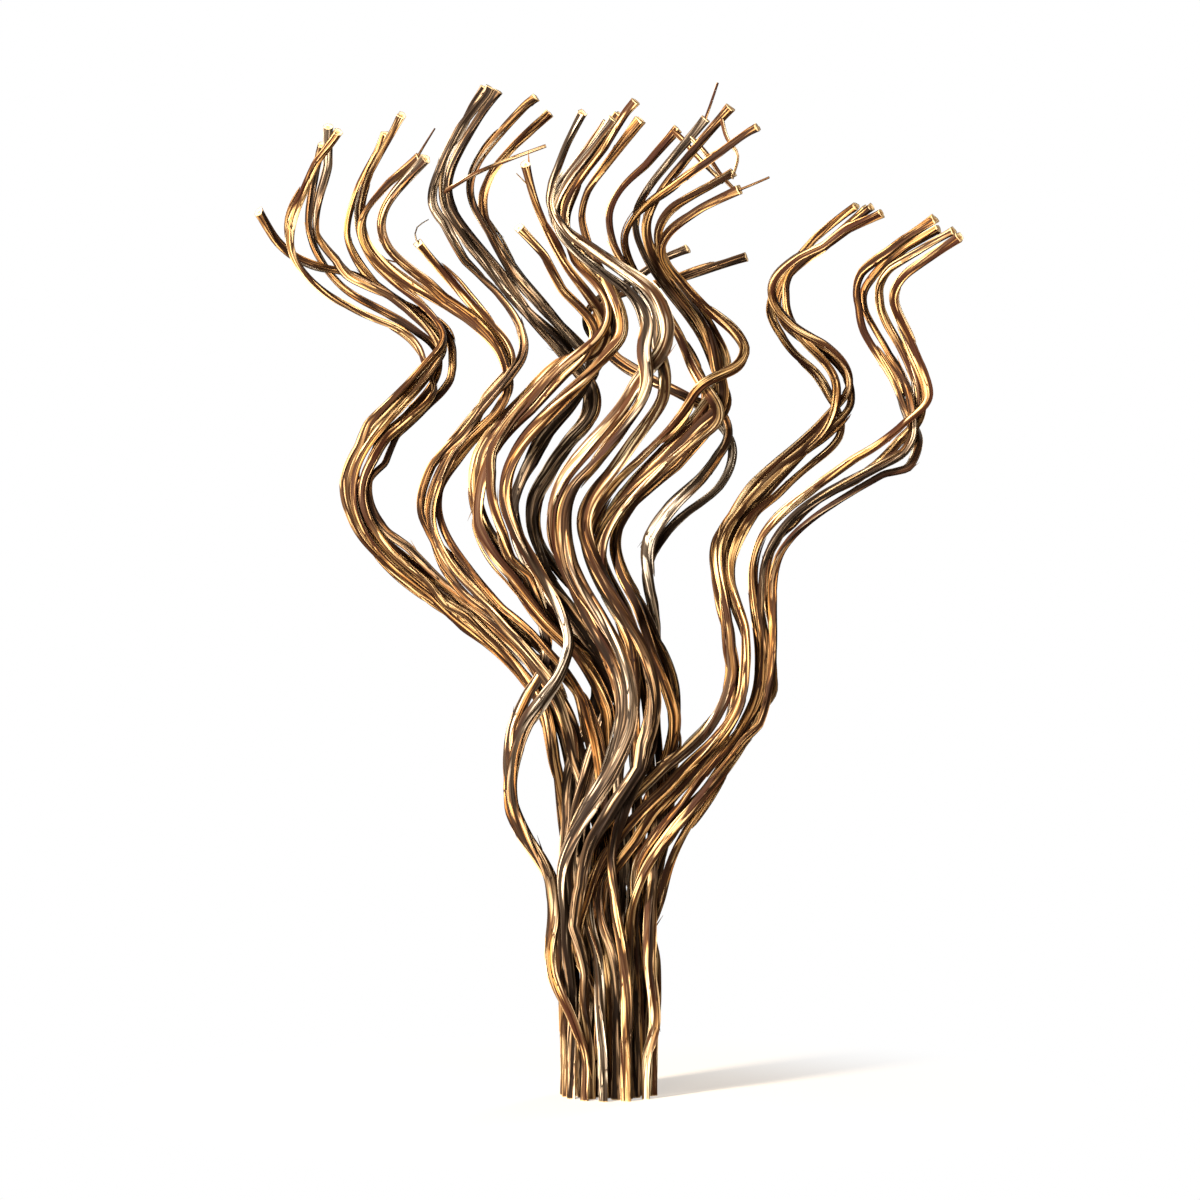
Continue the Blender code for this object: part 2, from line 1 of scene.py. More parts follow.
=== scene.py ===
"""Looks of the curly coconut sticks: ribs, furrows, bark and cut ends for every stem of the bunch.

Each packed stem is read back as rings of corners and swept again as a fine tube. Its colours follow its
fibres, and one Geometry Nodes tree carves its ribs, furrows and torn bark. Side shoots, peeled strips
and splinters are added where the bunch shows them. Names that end in _mm are millimetres, and so are the
heights in DRESS and PEELED. All other lengths are metres.
"""

import logging  # noqa: E402
import math  # noqa: E402
from collections.abc import Sequence  # noqa: E402
from dataclasses import dataclass, field  # noqa: E402
from enum import Enum  # noqa: E402

import bmesh  # noqa: E402
import bpy  # noqa: E402
import numpy as np  # noqa: E402
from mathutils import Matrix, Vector  # noqa: E402

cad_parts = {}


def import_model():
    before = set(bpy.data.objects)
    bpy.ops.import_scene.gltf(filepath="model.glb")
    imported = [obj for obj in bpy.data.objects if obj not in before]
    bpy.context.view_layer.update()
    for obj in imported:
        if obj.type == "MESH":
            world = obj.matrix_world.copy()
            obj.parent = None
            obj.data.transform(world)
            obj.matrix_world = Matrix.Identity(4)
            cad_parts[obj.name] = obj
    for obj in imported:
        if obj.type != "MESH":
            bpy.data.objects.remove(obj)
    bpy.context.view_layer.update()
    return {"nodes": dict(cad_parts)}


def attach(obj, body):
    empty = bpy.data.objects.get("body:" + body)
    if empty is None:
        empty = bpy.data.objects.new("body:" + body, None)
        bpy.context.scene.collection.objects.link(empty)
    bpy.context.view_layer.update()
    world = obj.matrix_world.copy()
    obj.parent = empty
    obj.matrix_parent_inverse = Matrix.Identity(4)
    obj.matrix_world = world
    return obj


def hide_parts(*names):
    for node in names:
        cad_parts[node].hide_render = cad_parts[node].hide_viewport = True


LOG = logging.getLogger("curly sticks")
MM = 0.001
SEED = 7
BAKE_MAP = "OFBake"  # the name of a piece's own UV map for a baked texture
STEM_SEEDS = 10  # from one stem's seed to the next
LOCK_SEEDS = 100  # from the seeds of one lock's strips to those of the next
GRAIN_START = (-50, 50)  # between which a stem's or a strip's pattern starts, so that no two are alike
BARK_PARTS = ("crest", "flank", "furrow")  # the colours that a mesh carries at every point; the last is the painted shade of the furrows

Colour = tuple[float, float, float, float]


def linear(code: str) -> Colour:
    """Turns sRGB hex digits into the linear colour that a shader takes.

    Args:
        code: The colour as "#RRGGBB".

    Returns:
        Red, green, blue and alpha.
    """
    shares = [int(code[at : at + 2], 16) / 255 for at in (1, 3, 5)]
    # the sRGB standard's own numbers
    red, green, blue = (s / 12.92 if s <= 0.04045 else ((s + 0.055) / 1.055) ** 2.4 for s in shares)
    return red, green, blue, 1.0


def unit(vectors: np.ndarray) -> np.ndarray:
    """Scales vectors to length one."""
    return vectors / np.linalg.norm(vectors, axis=-1, keepdims=True)


def run_along(points: np.ndarray) -> np.ndarray:
    """Gives how far along a line each of its points lies.

    Args:
        points: The line's points.

    Returns:
        The length up to each of them.
    """
    steps = np.linalg.norm(np.diff(points, axis=0), axis=1)
    return np.concatenate([[0.0], np.cumsum(steps)])


def smooth_through(values: np.ndarray, at: np.ndarray, wanted: np.ndarray) -> np.ndarray:
    """Reads a smooth curve through given values.

    Args:
        values: One row for each known place.
        at: The known places along the curve, rising.
        wanted: The places to read.

    Returns:
        One row for each wanted place.
    """
    slopes = np.gradient(values, at, axis=0)
    first = np.clip(np.searchsorted(at, wanted, side="right") - 1, 0, len(at) - 2)
    span = at[first + 1] - at[first]
    t = ((wanted - at[first]) / span)[:, None]
    span = span[:, None]
    return (
        (2 * t**3 - 3 * t**2 + 1) * values[first]
        + (t**3 - 2 * t**2 + t) * span * slopes[first]
        + (3 * t**2 - 2 * t**3) * values[first + 1]
        + (t**3 - t**2) * span * slopes[first + 1]
    )


def carried_frames(line: np.ndarray) -> tuple[np.ndarray, np.ndarray, np.ndarray]:
    """Carries two cross directions along a line without spinning them round it.

    Args:
        line: Points of the line, which starts upright.

    Returns:
        The direction of travel, and the first and second cross direction, at each point.
    """
    along = unit(np.gradient(line, axis=0))
    first = np.array([1.0, 0.0, 0.0])
    rights = []
    for direction in along:
        first = first - direction * first.dot(direction)
        first = first / np.linalg.norm(first)
        rights.append(first)
    rights = np.array(rights)
    return along, rights, np.cross(along, rights)


@dataclass(frozen=True)
class Palette:
    """Colours of one kind of bark on a rib's crest and flank, and the painted shade down in its furrow."""

    crest: Colour
    flank: Colour
    furrow: Colour


class Tone(Enum):
    """The kinds of bark that the stems show."""

    # the last colour of each tone is near-black painted shade for the furrows, creases and valleys
    GOLDEN = Palette(linear("#F4CC8E"), linear("#D19B56"), linear("#2E1100"))
    TAN = Palette(linear("#F0D2A0"), linear("#C79B62"), linear("#2E1803"))
    BROWN = Palette(linear("#DCA664"), linear("#A06B36"), linear("#220E00"))
    DARK = Palette(linear("#B89B7C"), linear("#785D42"), linear("#160901"))
    GREY = Palette(linear("#D0C1AD"), linear("#8E7C68"), linear("#1D1308"))
    SILVER = Palette(linear("#F0E8DA"), linear("#B8AA96"), linear("#2D2114"))
    PALE = Palette(linear("#FFEFCA"), linear("#E8C48A"), linear("#402208"))


# The bark of every stem: its tone at some heights, from the foot up
DRESS = {
    "stem_far_left_1": "brown 230, golden 300, tan 400, golden 450, brown 500",
    "stem_far_left_2": "dark 200, golden 300, brown 420, brown 470, dark 540",
    "stem_far_left_3": "dark 150, brown 250, golden 340, tan 430, brown 480, grey 560",
    "stem_far_left_4": "brown 200, tan 300, golden 400, tan 470, golden 560",
    "stem_far_left_5": "brown 250, dark 330, brown 400, golden 450, brown 560",
    "stem_far_left_6": "dark 200, golden 290, tan 350, brown 420, golden 480, tan 560",
    "stem_left_1": "brown 300, golden 350, brown 430, golden 480, brown 540",
    "stem_left_2": "dark 200, tan 300, brown 390, golden 450, brown 500, grey 540",
    "stem_left_3": "brown 200, tan 300, golden 360, tan 420, golden 500",
    "stem_left_4": "dark 200, brown 350, dark 430, brown 480, grey 520, dark 590",
    "stem_dark_1": "dark 340, grey 400, dark 450, dark 520, dark 590",
    "stem_dark_2": "dark 200, brown 300, dark 400, grey 470, brown 520, golden 580",
    "stem_dark_3": "tan 60, brown 110, dark 170, grey 400, dark 470, silver 530, dark 590",
    "stem_dark_4": "dark 250, grey 330, dark 400, grey 430, dark 500, brown 580",
    "stem_inner_left_1": "brown 60, dark 200, golden 330, tan 380, golden 450, golden 540",
    "stem_inner_left_2": "golden 100, brown 200, golden 340, pale 390, golden 460, tan 500",
    "stem_inner_left_3": "grey 60, dark 300, brown 350, golden 410, grey 460, golden 520, brown 570",
    "stem_front_left_1": "tan 50, brown 90, dark 120, brown 155, brown 200, grey 235, grey 260, "
    "brown 300, golden 350, tan 390, pale 430, golden 460, brown 510, golden 580",
    "stem_front_left_2": "golden 50, pale 75, dark 140, brown 190, grey 225, silver 255, dark 300, "
    "brown 340, golden 400, pale 440, golden 470, brown 560",
    "stem_front_1": "tan 20, brown 60, dark 110, grey 180, dark 230, brown 290, golden 330, pale 360, "
    "pale 430, silver 480, pale 510, silver 535, grey 570",
    "stem_front_2": "dark 60, grey 100, dark 200, grey 260, brown 310, dark 350, golden 390, grey 430, "
    "grey 480, silver 500, pale 530, grey 565",
    "stem_front_3": "tan 40, dark 90, dark 220, brown 290, brown 330, pale 370, pale 410, dark 450, "
    "silver 490, silver 530, golden 570",
    "stem_grey_arch": "golden 30, tan 60, brown 120, dark 180, grey 240, silver 280, silver 340, grey 380, "
    "brown 420, brown 450, dark 500",
    "stem_back_1": "dark 100, brown 200, grey 340, silver 390, grey 420, dark 500",
    "stem_right_centre_1": "brown 280, brown 390, dark 440, dark 520, grey 570",
    "stem_right_centre_2": "dark 200, golden 300, tan 370, brown 430, golden 500, brown 570",
    "stem_right_centre_3": "brown 200, golden 300, pale 380, golden 440, golden 490, brown 560",
    "stem_right_centre_4": "brown 250, golden 330, pale 380, pale 430, golden 470, tan 540",
    "stem_right_centre_5": "pale 35, golden 70, dark 130, brown 250, golden 330, pale 370, golden 420, "
    "golden 530",
    "stem_right_centre_6": "dark 200, brown 300, dark 370, brown 440, golden 500, golden 570",
    "stem_inner_right_1": "tan 30, golden 90, golden 140, brown 190, golden 260, golden 330, tan 410, "
    "golden 450, brown 520",
    "stem_inner_right_2": "grey 20, silver 60, grey 90, tan 120, golden 180, silver 222, golden 260, "
    "tan 330, golden 420, brown 520",
    "stem_inner_right_3": "golden 60, tan 140, pale 190, silver 225, golden 260, brown 330, pale 390, "
    "golden 440, golden 520",
    "stem_inner_right_4": "dark 80, brown 140, golden 190, brown 250, tan 340, brown 420, golden 520",
    "stem_outer_right_1": "dark 60, tan 110, golden 150, tan 190, brown 250, golden 320, grey 375, "
    "golden 410, brown 510",
    "stem_outer_right_2": "pale 60, tan 100, brown 130, golden 180, tan 260, golden 330, tan 385, "
    "golden 430, tan 500",
    "stem_outer_right_3": "tan 50, golden 120, brown 200, golden 300, pale 360, golden 420, golden 500",
    "stem_outer_right_4": "dark 80, golden 150, brown 250, dark 320, grey 375, brown 420, brown 510",
}

# Height up to which the bark has come off above the foot
PEELED = {
    "stem_front_left_2": 34,
    "stem_grey_arch": 31,
    "stem_right_centre_5": 36,
    "stem_front_1": 42,
    "stem_inner_right_2": 14,
    "stem_outer_right_2": 50,
    "stem_front_2": 22,
    "stem_far_left_1": 30,
    "stem_dark_1": 45,
    "stem_right_centre_1": 26,
    "stem_back_1": 38,
}


def read_dress(text: str) -> list[tuple[float, Tone]]:
    """Reads a stem's dress: the bark that it has at each height in millimetres, from the foot up."""
    words = [stop.split() for stop in text.split(", ")]
    return [(float(height), Tone[name.upper()]) for name, height in words]


@dataclass(frozen=True)
class Wire:
    """A node's output that can be reckoned with: each operator adds a Math node."""

    desk: "Desk"
    socket: bpy.types.NodeSocket

    def __add__(self, other: "Wire | float") -> "Wire":
        """Adds."""
        return self.desk.math("ADD", self, other)

    def __radd__(self, other: float) -> "Wire":
        """Adds to a number."""
        return self.desk.math("ADD", other, self)

    def __sub__(self, other: "Wire | float") -> "Wire":
        """Takes away."""
        return self.desk.math("SUBTRACT", self, other)

    def __rsub__(self, other: float) -> "Wire":
        """Takes away from a number."""
        return self.desk.math("SUBTRACT", other, self)

    def __mul__(self, other: "Wire | float") -> "Wire":
        """Multiplies."""
        return self.desk.math("MULTIPLY", self, other)

    def __rmul__(self, other: float) -> "Wire":
        """Multiplies a number."""
        return self.desk.math("MULTIPLY", other, self)

    def __truediv__(self, other: "Wire | float") -> "Wire":
        """Divides."""
        return self.desk.math("DIVIDE", self, other)

    def __abs__(self) -> "Wire":
        """Drops the sign."""
        return self.desk.math("ABSOLUTE", self)


class Desk:
    """Adds nodes to one tree, for shaders and geometry alike."""

    def __init__(self, tree: bpy.types.NodeTree) -> None:
        """Starts on a tree."""
        self.tree = tree

    @staticmethod
    def find(sockets: bpy.types.NodeInputs | bpy.types.NodeOutputs, key: str | int) -> bpy.types.NodeSocket:
        """Finds a socket by its place, its identifier or its name.

        Args:
            sockets: A node's inputs or outputs.
            key: The place, identifier or name.

        Returns:
            The socket.
        """
        if isinstance(key, int):
            return sockets[key]
        return next((s for s in sockets if s.identifier == key), None) or sockets[key]

    def add(self, kind: str, settings: dict | None = None, inputs: dict | None = None) -> bpy.types.Node:
        """Adds one node.

        Args:
            kind: The node's type.
            settings: Its properties, set first.
            inputs: A value or a wire for each socket, by identifier, name or place.

        Returns:
            The node.
        """
        node = self.tree.nodes.new(kind)
        for name, value in (settings or {}).items():
            setattr(node, name, value)
        self.feed(node, inputs or {})
        return node

    def feed(self, node: bpy.types.Node, inputs: dict) -> None:
        """Gives a node's sockets their values and wires.

        Args:
            node: The node.
            inputs: A value or a wire for each socket, by identifier, name or place.
        """
        for key, value in inputs.items():
            socket = self.find(node.inputs, key)
            if isinstance(value, Wire):
                self.tree.links.new(value.socket, socket)
            else:
                socket.default_value = value

    def out(self, node: bpy.types.Node, key: str | int | None = None) -> Wire:
        """Wraps a node's output.

        Args:
            node: The node.
            key: The output's identifier, name or place, or None for the first in use.

        Returns:
            The output.
        """
        if key is None:
            return Wire(self, next(s for s in node.outputs if s.enabled))
        return Wire(self, self.find(node.outputs, key))

    def use(
        self, kind: str, settings: dict | None = None, inputs: dict | None = None, key: str | None = None
    ) -> Wire:
        """Adds one node and wraps its output: the named one, or the first in use."""
        return self.out(self.add(kind, settings, inputs), key)

    def math(self, operation: str, *values: Wire | float) -> Wire:
        """Adds a Math node."""
        return self.use("ShaderNodeMath", {"operation": operation}, dict(enumerate(values)))

    def vector(self, operation: str, *values: Wire | Sequence[float]) -> Wire:
        """Adds a Vector Math node."""
        return self.use("ShaderNodeVectorMath", {"operation": operation}, dict(enumerate(values)))

    def scaled(self, vector: Wire, factor: Wire | float) -> Wire:
        """Makes a vector or a colour longer or shorter."""
        return self.use("ShaderNodeVectorMath", {"operation": "SCALE"}, {0: vector, "Scale": factor})

    def mix(self, share: Wire | float, start: Wire | Colour, end: Wire | Colour) -> Wire:
        """Mixes two colours, with the given share of the second."""
        inputs = {"Factor_Float": share, "A_Color": start, "B_Color": end}
        return self.use("ShaderNodeMix", {"data_type": "RGBA"}, inputs, "Result_Color")

    def layered(self, base: Wire, layers: Sequence[tuple[Wire, Wire | Colour]]) -> Wire:
        """Lays colours over a base, from the bottom up.

        Args:
            base: The colour below them all.
            layers: The share and the colour of each layer.

        Returns:
            The colour that shows.
        """
        for share, colour in layers:
            base = self.mix(share, base, colour)
        return base

    def noise(self, point: Wire, lean: tuple, detail: float = 0.0, roughness: float = 0.5) -> Wire:
        """Adds soft noise, from about 0 to 1 with its middle at one half.

        Args:
            point: The coordinates that it follows.
            lean: How fine it is along each of them.
            detail: How much finer noise is added to it.
            roughness: How strong that finer noise is.

        Returns:
            Its value.
        """
        inputs = {"Vector": self.vector("MULTIPLY", point, lean), "Scale": 1.0}
        return self.use("ShaderNodeTexNoise", {}, inputs | {"Detail": detail, "Roughness": roughness}, "Fac")

    def step(self, value: Wire, low: float, high: float) -> Wire:
        """Rises smoothly from 0 at low to 1 at high, or the other way round if low is above high."""
        inputs = {"Value": value, "From Min": low, "From Max": high}
        return self.use("ShaderNodeMapRange", {"interpolation_type": "SMOOTHSTEP"}, inputs, "Result")

    def bump(self, height: Wire, depth: float, strength: float = 1.0) -> Wire:
        """Turns a height into a normal, with its depth in metres."""
        return self.use("ShaderNodeBump", {}, {"Strength": strength, "Distance": depth, "Height": height})

    def carried(self, name: str, key: str = "Fac") -> Wire:
        """Reads an attribute that the mesh carries, in a shader."""
        return self.use("ShaderNodeAttribute", {"attribute_name": name}, key=key)

    def stored(self, name: str, kind: str = "FLOAT") -> Wire:
        """Reads an attribute that the mesh carries, in a Geometry Nodes tree."""
        return self.use("GeometryNodeInputNamedAttribute", {"data_type": kind}, {"Name": name}, "Attribute")

    def position(self) -> Wire:
        """Reads the place of each point, in a Geometry Nodes tree."""
        return self.use("GeometryNodeInputPosition")

    def moved(self, geometry: Wire, offset: Wire) -> Wire:
        """Moves points, in a Geometry Nodes tree."""
        return self.use("GeometryNodeSetPosition", {}, {"Geometry": geometry, "Offset": offset})


def new_material(name: str) -> tuple[bpy.types.Material, Desk, bpy.types.Node]:
    """Starts a material.

    Args:
        name: Its name.

    Returns:
        The material, the desk for its nodes and its Principled shader.
    """
    material = bpy.data.materials.new(name)
    material.use_nodes = True
    return material, Desk(material.node_tree), material.node_tree.nodes["Principled BSDF"]


def write_attribute(mesh: bpy.types.Mesh, name: str, kind: str, values: np.ndarray) -> None:
    """Writes one attribute on the mesh's points.

    Args:
        mesh: The mesh.
        name: The attribute's name.
        kind: Its data type.
        values: One value, vector or colour for each point.
    """
    attribute = mesh.attributes.new(name, kind, "POINT")
    key = {"FLOAT": "value", "FLOAT_VECTOR": "vector", "FLOAT_COLOR": "color"}[kind]
    attribute.data.foreach_set(key, values.astype(np.float32).ravel())


def put_in_scene(name: str, data: bpy.types.ID) -> bpy.types.Object:
    """Puts a mesh, a lamp or a camera into the scene as an object at the origin.

    Args:
        name: The object's name.
        data: The mesh, lamp or camera.

    Returns:
        The object.
    """
    piece = bpy.data.objects.new(name, data)
    bpy.context.scene.collection.objects.link(piece)
    return piece


def run_tree(piece: bpy.types.Object, tree: bpy.types.NodeTree, values: dict) -> None:
    """Runs a Geometry Nodes tree on a piece and leaves what it makes as the piece's own plain mesh.

    Args:
        piece: The piece.
        tree: The tree.
        values: What its inputs get, by their names in the tree.
    """
    modifier = piece.modifiers.new(tree.name, "NODES")
    modifier.node_group = tree
    for socket in tree.interface.items_tree:
        if socket.in_out == "INPUT" and socket.name in values:
            modifier[socket.identifier] = values[socket.name]
    graph = bpy.context.evaluated_depsgraph_get()
    done = bpy.data.meshes.new_from_object(
        piece.evaluated_get(graph), preserve_all_data_layers=True, depsgraph=graph
    )
    rough = piece.data
    piece.modifiers.remove(modifier)
    piece.data = done
    done.name = piece.name
    bpy.data.meshes.remove(rough)


def start_tree(name: str, inputs: dict[str, str]) -> tuple[Desk, bpy.types.Node]:
    """Starts a Geometry Nodes tree.

    Args:
        name: Its name.
        inputs: The socket type of each input after the geometry, by name.

    Returns:
        The desk for its nodes, and the node that gives its inputs.
    """
    tree = bpy.data.node_groups.new(name, "GeometryNodeTree")
    tree.is_modifier = True
    tree.interface.new_socket("Geometry", in_out="INPUT", socket_type="NodeSocketGeometry")
    for key, kind in inputs.items():
        tree.interface.new_socket(key, in_out="INPUT", socket_type=kind)
    tree.interface.new_socket("Geometry", in_out="OUTPUT", socket_type="NodeSocketGeometry")
    desk = Desk(tree)
    return desk, desk.add("NodeGroupInput")


def end_tree(desk: Desk, made: Wire, material: Wire, chosen: Wire | bool = True) -> bpy.types.NodeTree:
    """Ends a Geometry Nodes tree: makes what it has made real, and gives it its material.

    Args:
        desk: The tree's desk.
        made: What it has made.
        material: The material.
        chosen: Which faces get it.

    Returns:
        The tree.
    """
    real = desk.use("GeometryNodeRealizeInstances", {}, {"Geometry": made})
    dress = {"Geometry": real, "Selection": chosen, "Material": material}
    desk.add("NodeGroupOutput", {}, {0: desk.use("GeometryNodeSetMaterial", {}, dress)})
    return desk.tree


@dataclass(frozen=True)
class Creases:
    """One layer of creases: how fine it is along the fibre coordinates, and how wide its creases are."""

    lean: tuple
    width: float


@dataclass(frozen=True)
class Grain:
    """The fibre pattern that the carving and the colours of a stem share.

    Every stem carries its fibre coordinates as an attribute: two that go round it on a circle of radius
    one, and one that runs along it in units of RUN.
    """

    name: str = "grain"
    ribs: Creases = Creases((0.55, 0.55, 0.9), 0.2)
    lines: Creases = Creases((0.95, 0.95, 1.7), 0.28)
    fine: Creases = Creases((1.5, 1.5, 2.2), 0.3)
    hairs: Creases = Creases((3.0, 3.0, 1.3), 0.3)
    lip_inside: tuple = (0.8, 1.0)  # where a crease's lip of painted highlight comes in, in widths of the crease
    lip_outside: tuple = (2.0, 1.5)
    tear_lean: tuple = (0.95, 0.95, 2.6)
    tear_from: float = 0.60
    tear_jag_lean: tuple = (4.0, 4.0, 4.0)
    tear_jag: float = 0.16
    peel_jag_lean: tuple = (3.0, 3.0, 3.0)
    peel_jag: float = 0.5

    RUN = 0.1  # metres of stem for each unit of the third coordinate

    def creases(self, desk: Desk, point: Wire, kind: Creases, widened: float = 1.0) -> Wire:
        """Makes creases that wander along the fibres: 1 at the bottom of a crease, 0 between them."""
        swing = abs(desk.noise(point, kind.lean) * 2 - 1)
        return desk.math("MAXIMUM", 1 - swing / (kind.width * widened), 0.0)

    def highlight_lips(self, desk: Desk, point: Wire, kind: Creases) -> Wire:
        """Makes the painted highlight on the lip along one side of the same creases: 1 on it.

        Args:
            desk: The tree that it is made in.
            point: The fibre coordinates.
            kind: The creases.

        Returns:
            The share of the lip.
        """
        swing = desk.noise(point, kind.lean) * 2 - 1
        inside = [kind.width * at for at in self.lip_inside]
        outside = [kind.width * at for at in self.lip_outside]
        return desk.step(swing, *inside) * desk.step(swing, *outside)

    def torn(self, desk: Desk, point: Wire, sharpness: float) -> Wire:
        """Makes long ragged patches where the outer bark is gone: 1 inside them.

        Args:
            desk: The tree that it is made in.
            point: The fibre coordinates.
            sharpness: How wide the patch's edge is, in units of the noise.

        Returns:
            The share of torn bark.
        """
        jag = desk.noise(point, self.tear_jag_lean, detail=1.0) - 0.5
        patch = desk.noise(point, self.tear_lean) + jag * self.tear_jag
        return desk.step(patch, self.tear_from, self.tear_from + sharpness)

    def peeled(self, desk: Desk, point: Wire, peel: Wire, sharpness: float) -> Wire:
        """Makes the bare wood above a foot, below a jagged line: 1 where the bark has come off.

        Args:
            desk: The tree that it is made in.
            point: The fibre coordinates.
            peel: The stem's own peel attribute, one half on the line.
            sharpness: How wide the edge is, in units of that attribute.

        Returns:
            The share of bare wood.
        """
        jag = desk.noise(point, self.peel_jag_lean, detail=2.0) - 0.5
        return desk.step(peel + jag * self.peel_jag, 0.5 - sharpness, 0.5 + sharpness)


GRAIN = Grain()


@dataclass(frozen=True)
class Cover:
    """A layer of colour: how much it covers, and the values of its pattern between which it comes in."""

    share: float
    low: float
    high: float

    def over(self, desk: Desk, pattern: Wire) -> Wire:
        """Works out how much the layer covers at each place."""
        return desk.step(pattern, self.low, self.high) * self.share


@dataclass(frozen=True)
class Patch:
    """A patch of gone bark: its sharpness, how far the painted shadow at its edge reaches, and its
    strengths.
    """

    sharpness: float
    edge: float
    edge_gain: float
    share: float
    depth: float

    def edge_of(self, inside: Wire, soft: Wire) -> Wire:
        """Finds the painted shadow just inside a patch's edge, from the sharp patch and the soft one."""
        return inside * (1 - soft) * self.edge_gain


@dataclass(frozen=True)
class BarkFinish:
    """Dry fibrous bark: pale worn crests, painted shade in the furrows, fine streaks along the fibres."""

    name: str
    roughness: float = 0.8
    gloss: float = 0.2
    sheen_streaks: float = 0.08  # how much smoother the worn crests are
    bump_mm: float = 0.3
    # a pale cream for worn edges, also used for the painted highlights on ridges and lips
    worn_edge_and_highlight: Colour = linear("#F4D6A4")
    shadow_share: float = 0.8  # how much of the furrow's painted shade is in the lighter painted shade
    bright_share: float = 0.22  # how much of the worn edge and highlight cream is in the bright colour
    bright_gain: float = 1.25  # how much brighter than the crest the rest of it is
    band_lean: tuple = (1.15, 1.15, 0.8)
    shade_lean: tuple = (1.5, 1.5, 1.3)
    streak_lean: tuple = (1.7, 1.7, 1.6)
    streak_roughness: float = 0.55
    nick_lean: tuple = (2.0, 2.0, 4.2)
    band_weight: float = 0.4  # in what is worn
    streak_weight: float = 0.7
    worn: Cover = Cover(1.0, 0.515, 0.545)
    torn: Patch = Patch(0.008, 0.05, 1.6, 0.6, 0.35)
    torn_streaks: Cover = Cover(1.0, 0.46, 0.54)
    bare: Patch = Patch(0.015, 0.3, 2.2, 0.95, 0.5)
    bare_streaks: Cover = Cover(1.0, 0.40, 0.60)
    shades: Cover = Cover(0.65, 0.58, 0.62)
    bright_nicks: Cover = Cover(0.8, 0.40, 0.35)
    dark_nicks: Cover = Cover(0.9, 0.63, 0.66)
    highlight_lips: Cover = Cover(0.9, 0.40, 0.48)
    line_lips: float = 0.7  # how strong the painted highlights on the lips of the lines are, against those of the ribs
    # painted highlight along the ridge lines, and the share of painted shade in the valleys
    crease_edges: Cover = Cover(0.9, 0.40, 0.55)
    valley_share: float = 0.8
    # painted shade at the bottom of the hair, fine, line and rib creases
    hairs: Cover = Cover(0.6, 0.3, 0.7)
    fine: Cover = Cover(0.9, 0.3, 0.6)
    lines: Cover = Cover(0.95, 0.25, 0.6)
    ribs: Cover = Cover(1.0, 0.2, 0.6)
    rim_share: float = 0.8
    streak_height: float = 0.15
    fine_depth: float = 0.5
    line_depth: float = 0.6

    def material(self) -> bpy.types.Material:
        """Builds the material.

        Returns:
            The material.
        """
        material, desk, shader = new_material(self.name)
        point = desk.carried(GRAIN.name, "Vector")
        crest, flank, furrow = (desk.carried(part, "Color") for part in BARK_PARTS)
        rim, edge, peel = (desk.carried(name) for name in ("rim", "edge", "peel"))
        # painted shade: the flank darkened towards the furrow's painted shade, laid on random dark strips,
        # hair lines and fine creases
        shadow = desk.mix(self.shadow_share, flank, furrow)
        # bright: paler wood for pale flakes and torn or bare bark, and also the painted highlight on ridges
        # and lips
        bright = desk.mix(self.bright_share, desk.scaled(crest, self.bright_gain), self.worn_edge_and_highlight)

        ribs, lines, fine, hairs = (
            GRAIN.creases(desk, point, kind) for kind in (GRAIN.ribs, GRAIN.lines, GRAIN.fine, GRAIN.hairs)
        )
        torn, torn_soft = (GRAIN.torn(desk, point, width) for width in (self.torn.sharpness, self.torn.edge))
        bare, bare_soft = (
            GRAIN.peeled(desk, point, peel, width) for width in (self.bare.sharpness, self.bare.edge)
        )
        patch_edge_shadows = self.torn.edge_of(torn, torn_soft) + self.bare.edge_of(bare, bare_soft)
        bands = desk.noise(point, self.band_lean, detail=1.0)
        shades = desk.noise(point, self.shade_lean, detail=1.0)
        streaks = desk.noise(point, self.streak_lean, detail=1.0, roughness=self.streak_roughness)
        nicks = desk.noise(point, self.nick_lean, detail=1.5)
        highlight_lips = desk.math(
            "MAXIMUM",
            GRAIN.highlight_lips(desk, point, GRAIN.ribs),
            GRAIN.highlight_lips(desk, point, GRAIN.lines) * self.line_lips,
        )

        worn = self.worn.over(desk, bands * self.band_weight + streaks * self.streak_weight)
        torn_wood = desk.mix(self.torn_streaks.over(desk, streaks), flank, bright)
        bare_wood = desk.mix(self.bare_streaks.over(desk, streaks), crest, bright)
        # painted highlight along the ridge lines
        ridge_highlights = desk.math("MAXIMUM", edge, 0.0) * self.crease_edges.over(desk, streaks)
        layers = (
            (worn, crest),
            (torn * self.torn.share, torn_wood),
            (self.shades.over(desk, shades), shadow),
            (bare * self.bare.share, bare_wood),
            (self.bright_nicks.over(desk, nicks), bright),
            # painted highlight on the lips beside the creases
            (highlight_lips * self.highlight_lips.over(desk, streaks), bright),
            # painted shade in the hair lines and fine creases
            (self.hairs.over(desk, hairs), shadow),
            (self.fine.over(desk, fine), shadow),
            (ridge_highlights, bright),
            (self.dark_nicks.over(desk, nicks), furrow),
            # painted shade down in the line creases
            (self.lines.over(desk, lines), furrow),
            # painted shadow along the inside of the torn and peeled edges
            (desk.math("MINIMUM", patch_edge_shadows, 1.0), furrow),
            # painted shade in the valley lines
            (desk.math("MAXIMUM", edge * -1, 0.0) * self.valley_share, furrow),
            # painted shade down in the carved ribs
            (self.ribs.over(desk, ribs), furrow),
            (rim * self.rim_share, self.worn_edge_and_highlight),
        )
        height = (
            streaks * self.streak_height
            - fine * self.fine_depth
            - lines * self.line_depth
            - torn * self.torn.depth
            - bare * self.bare.depth
        )
        looks = {
            "Base Color": desk.layered(flank, layers),
            "Roughness": self.roughness - worn * self.sheen_streaks,
            "Specular IOR Level": self.gloss,
            "Normal": desk.bump(height, self.bump_mm * MM),
        }
        desk.feed(shader, looks)
        return material


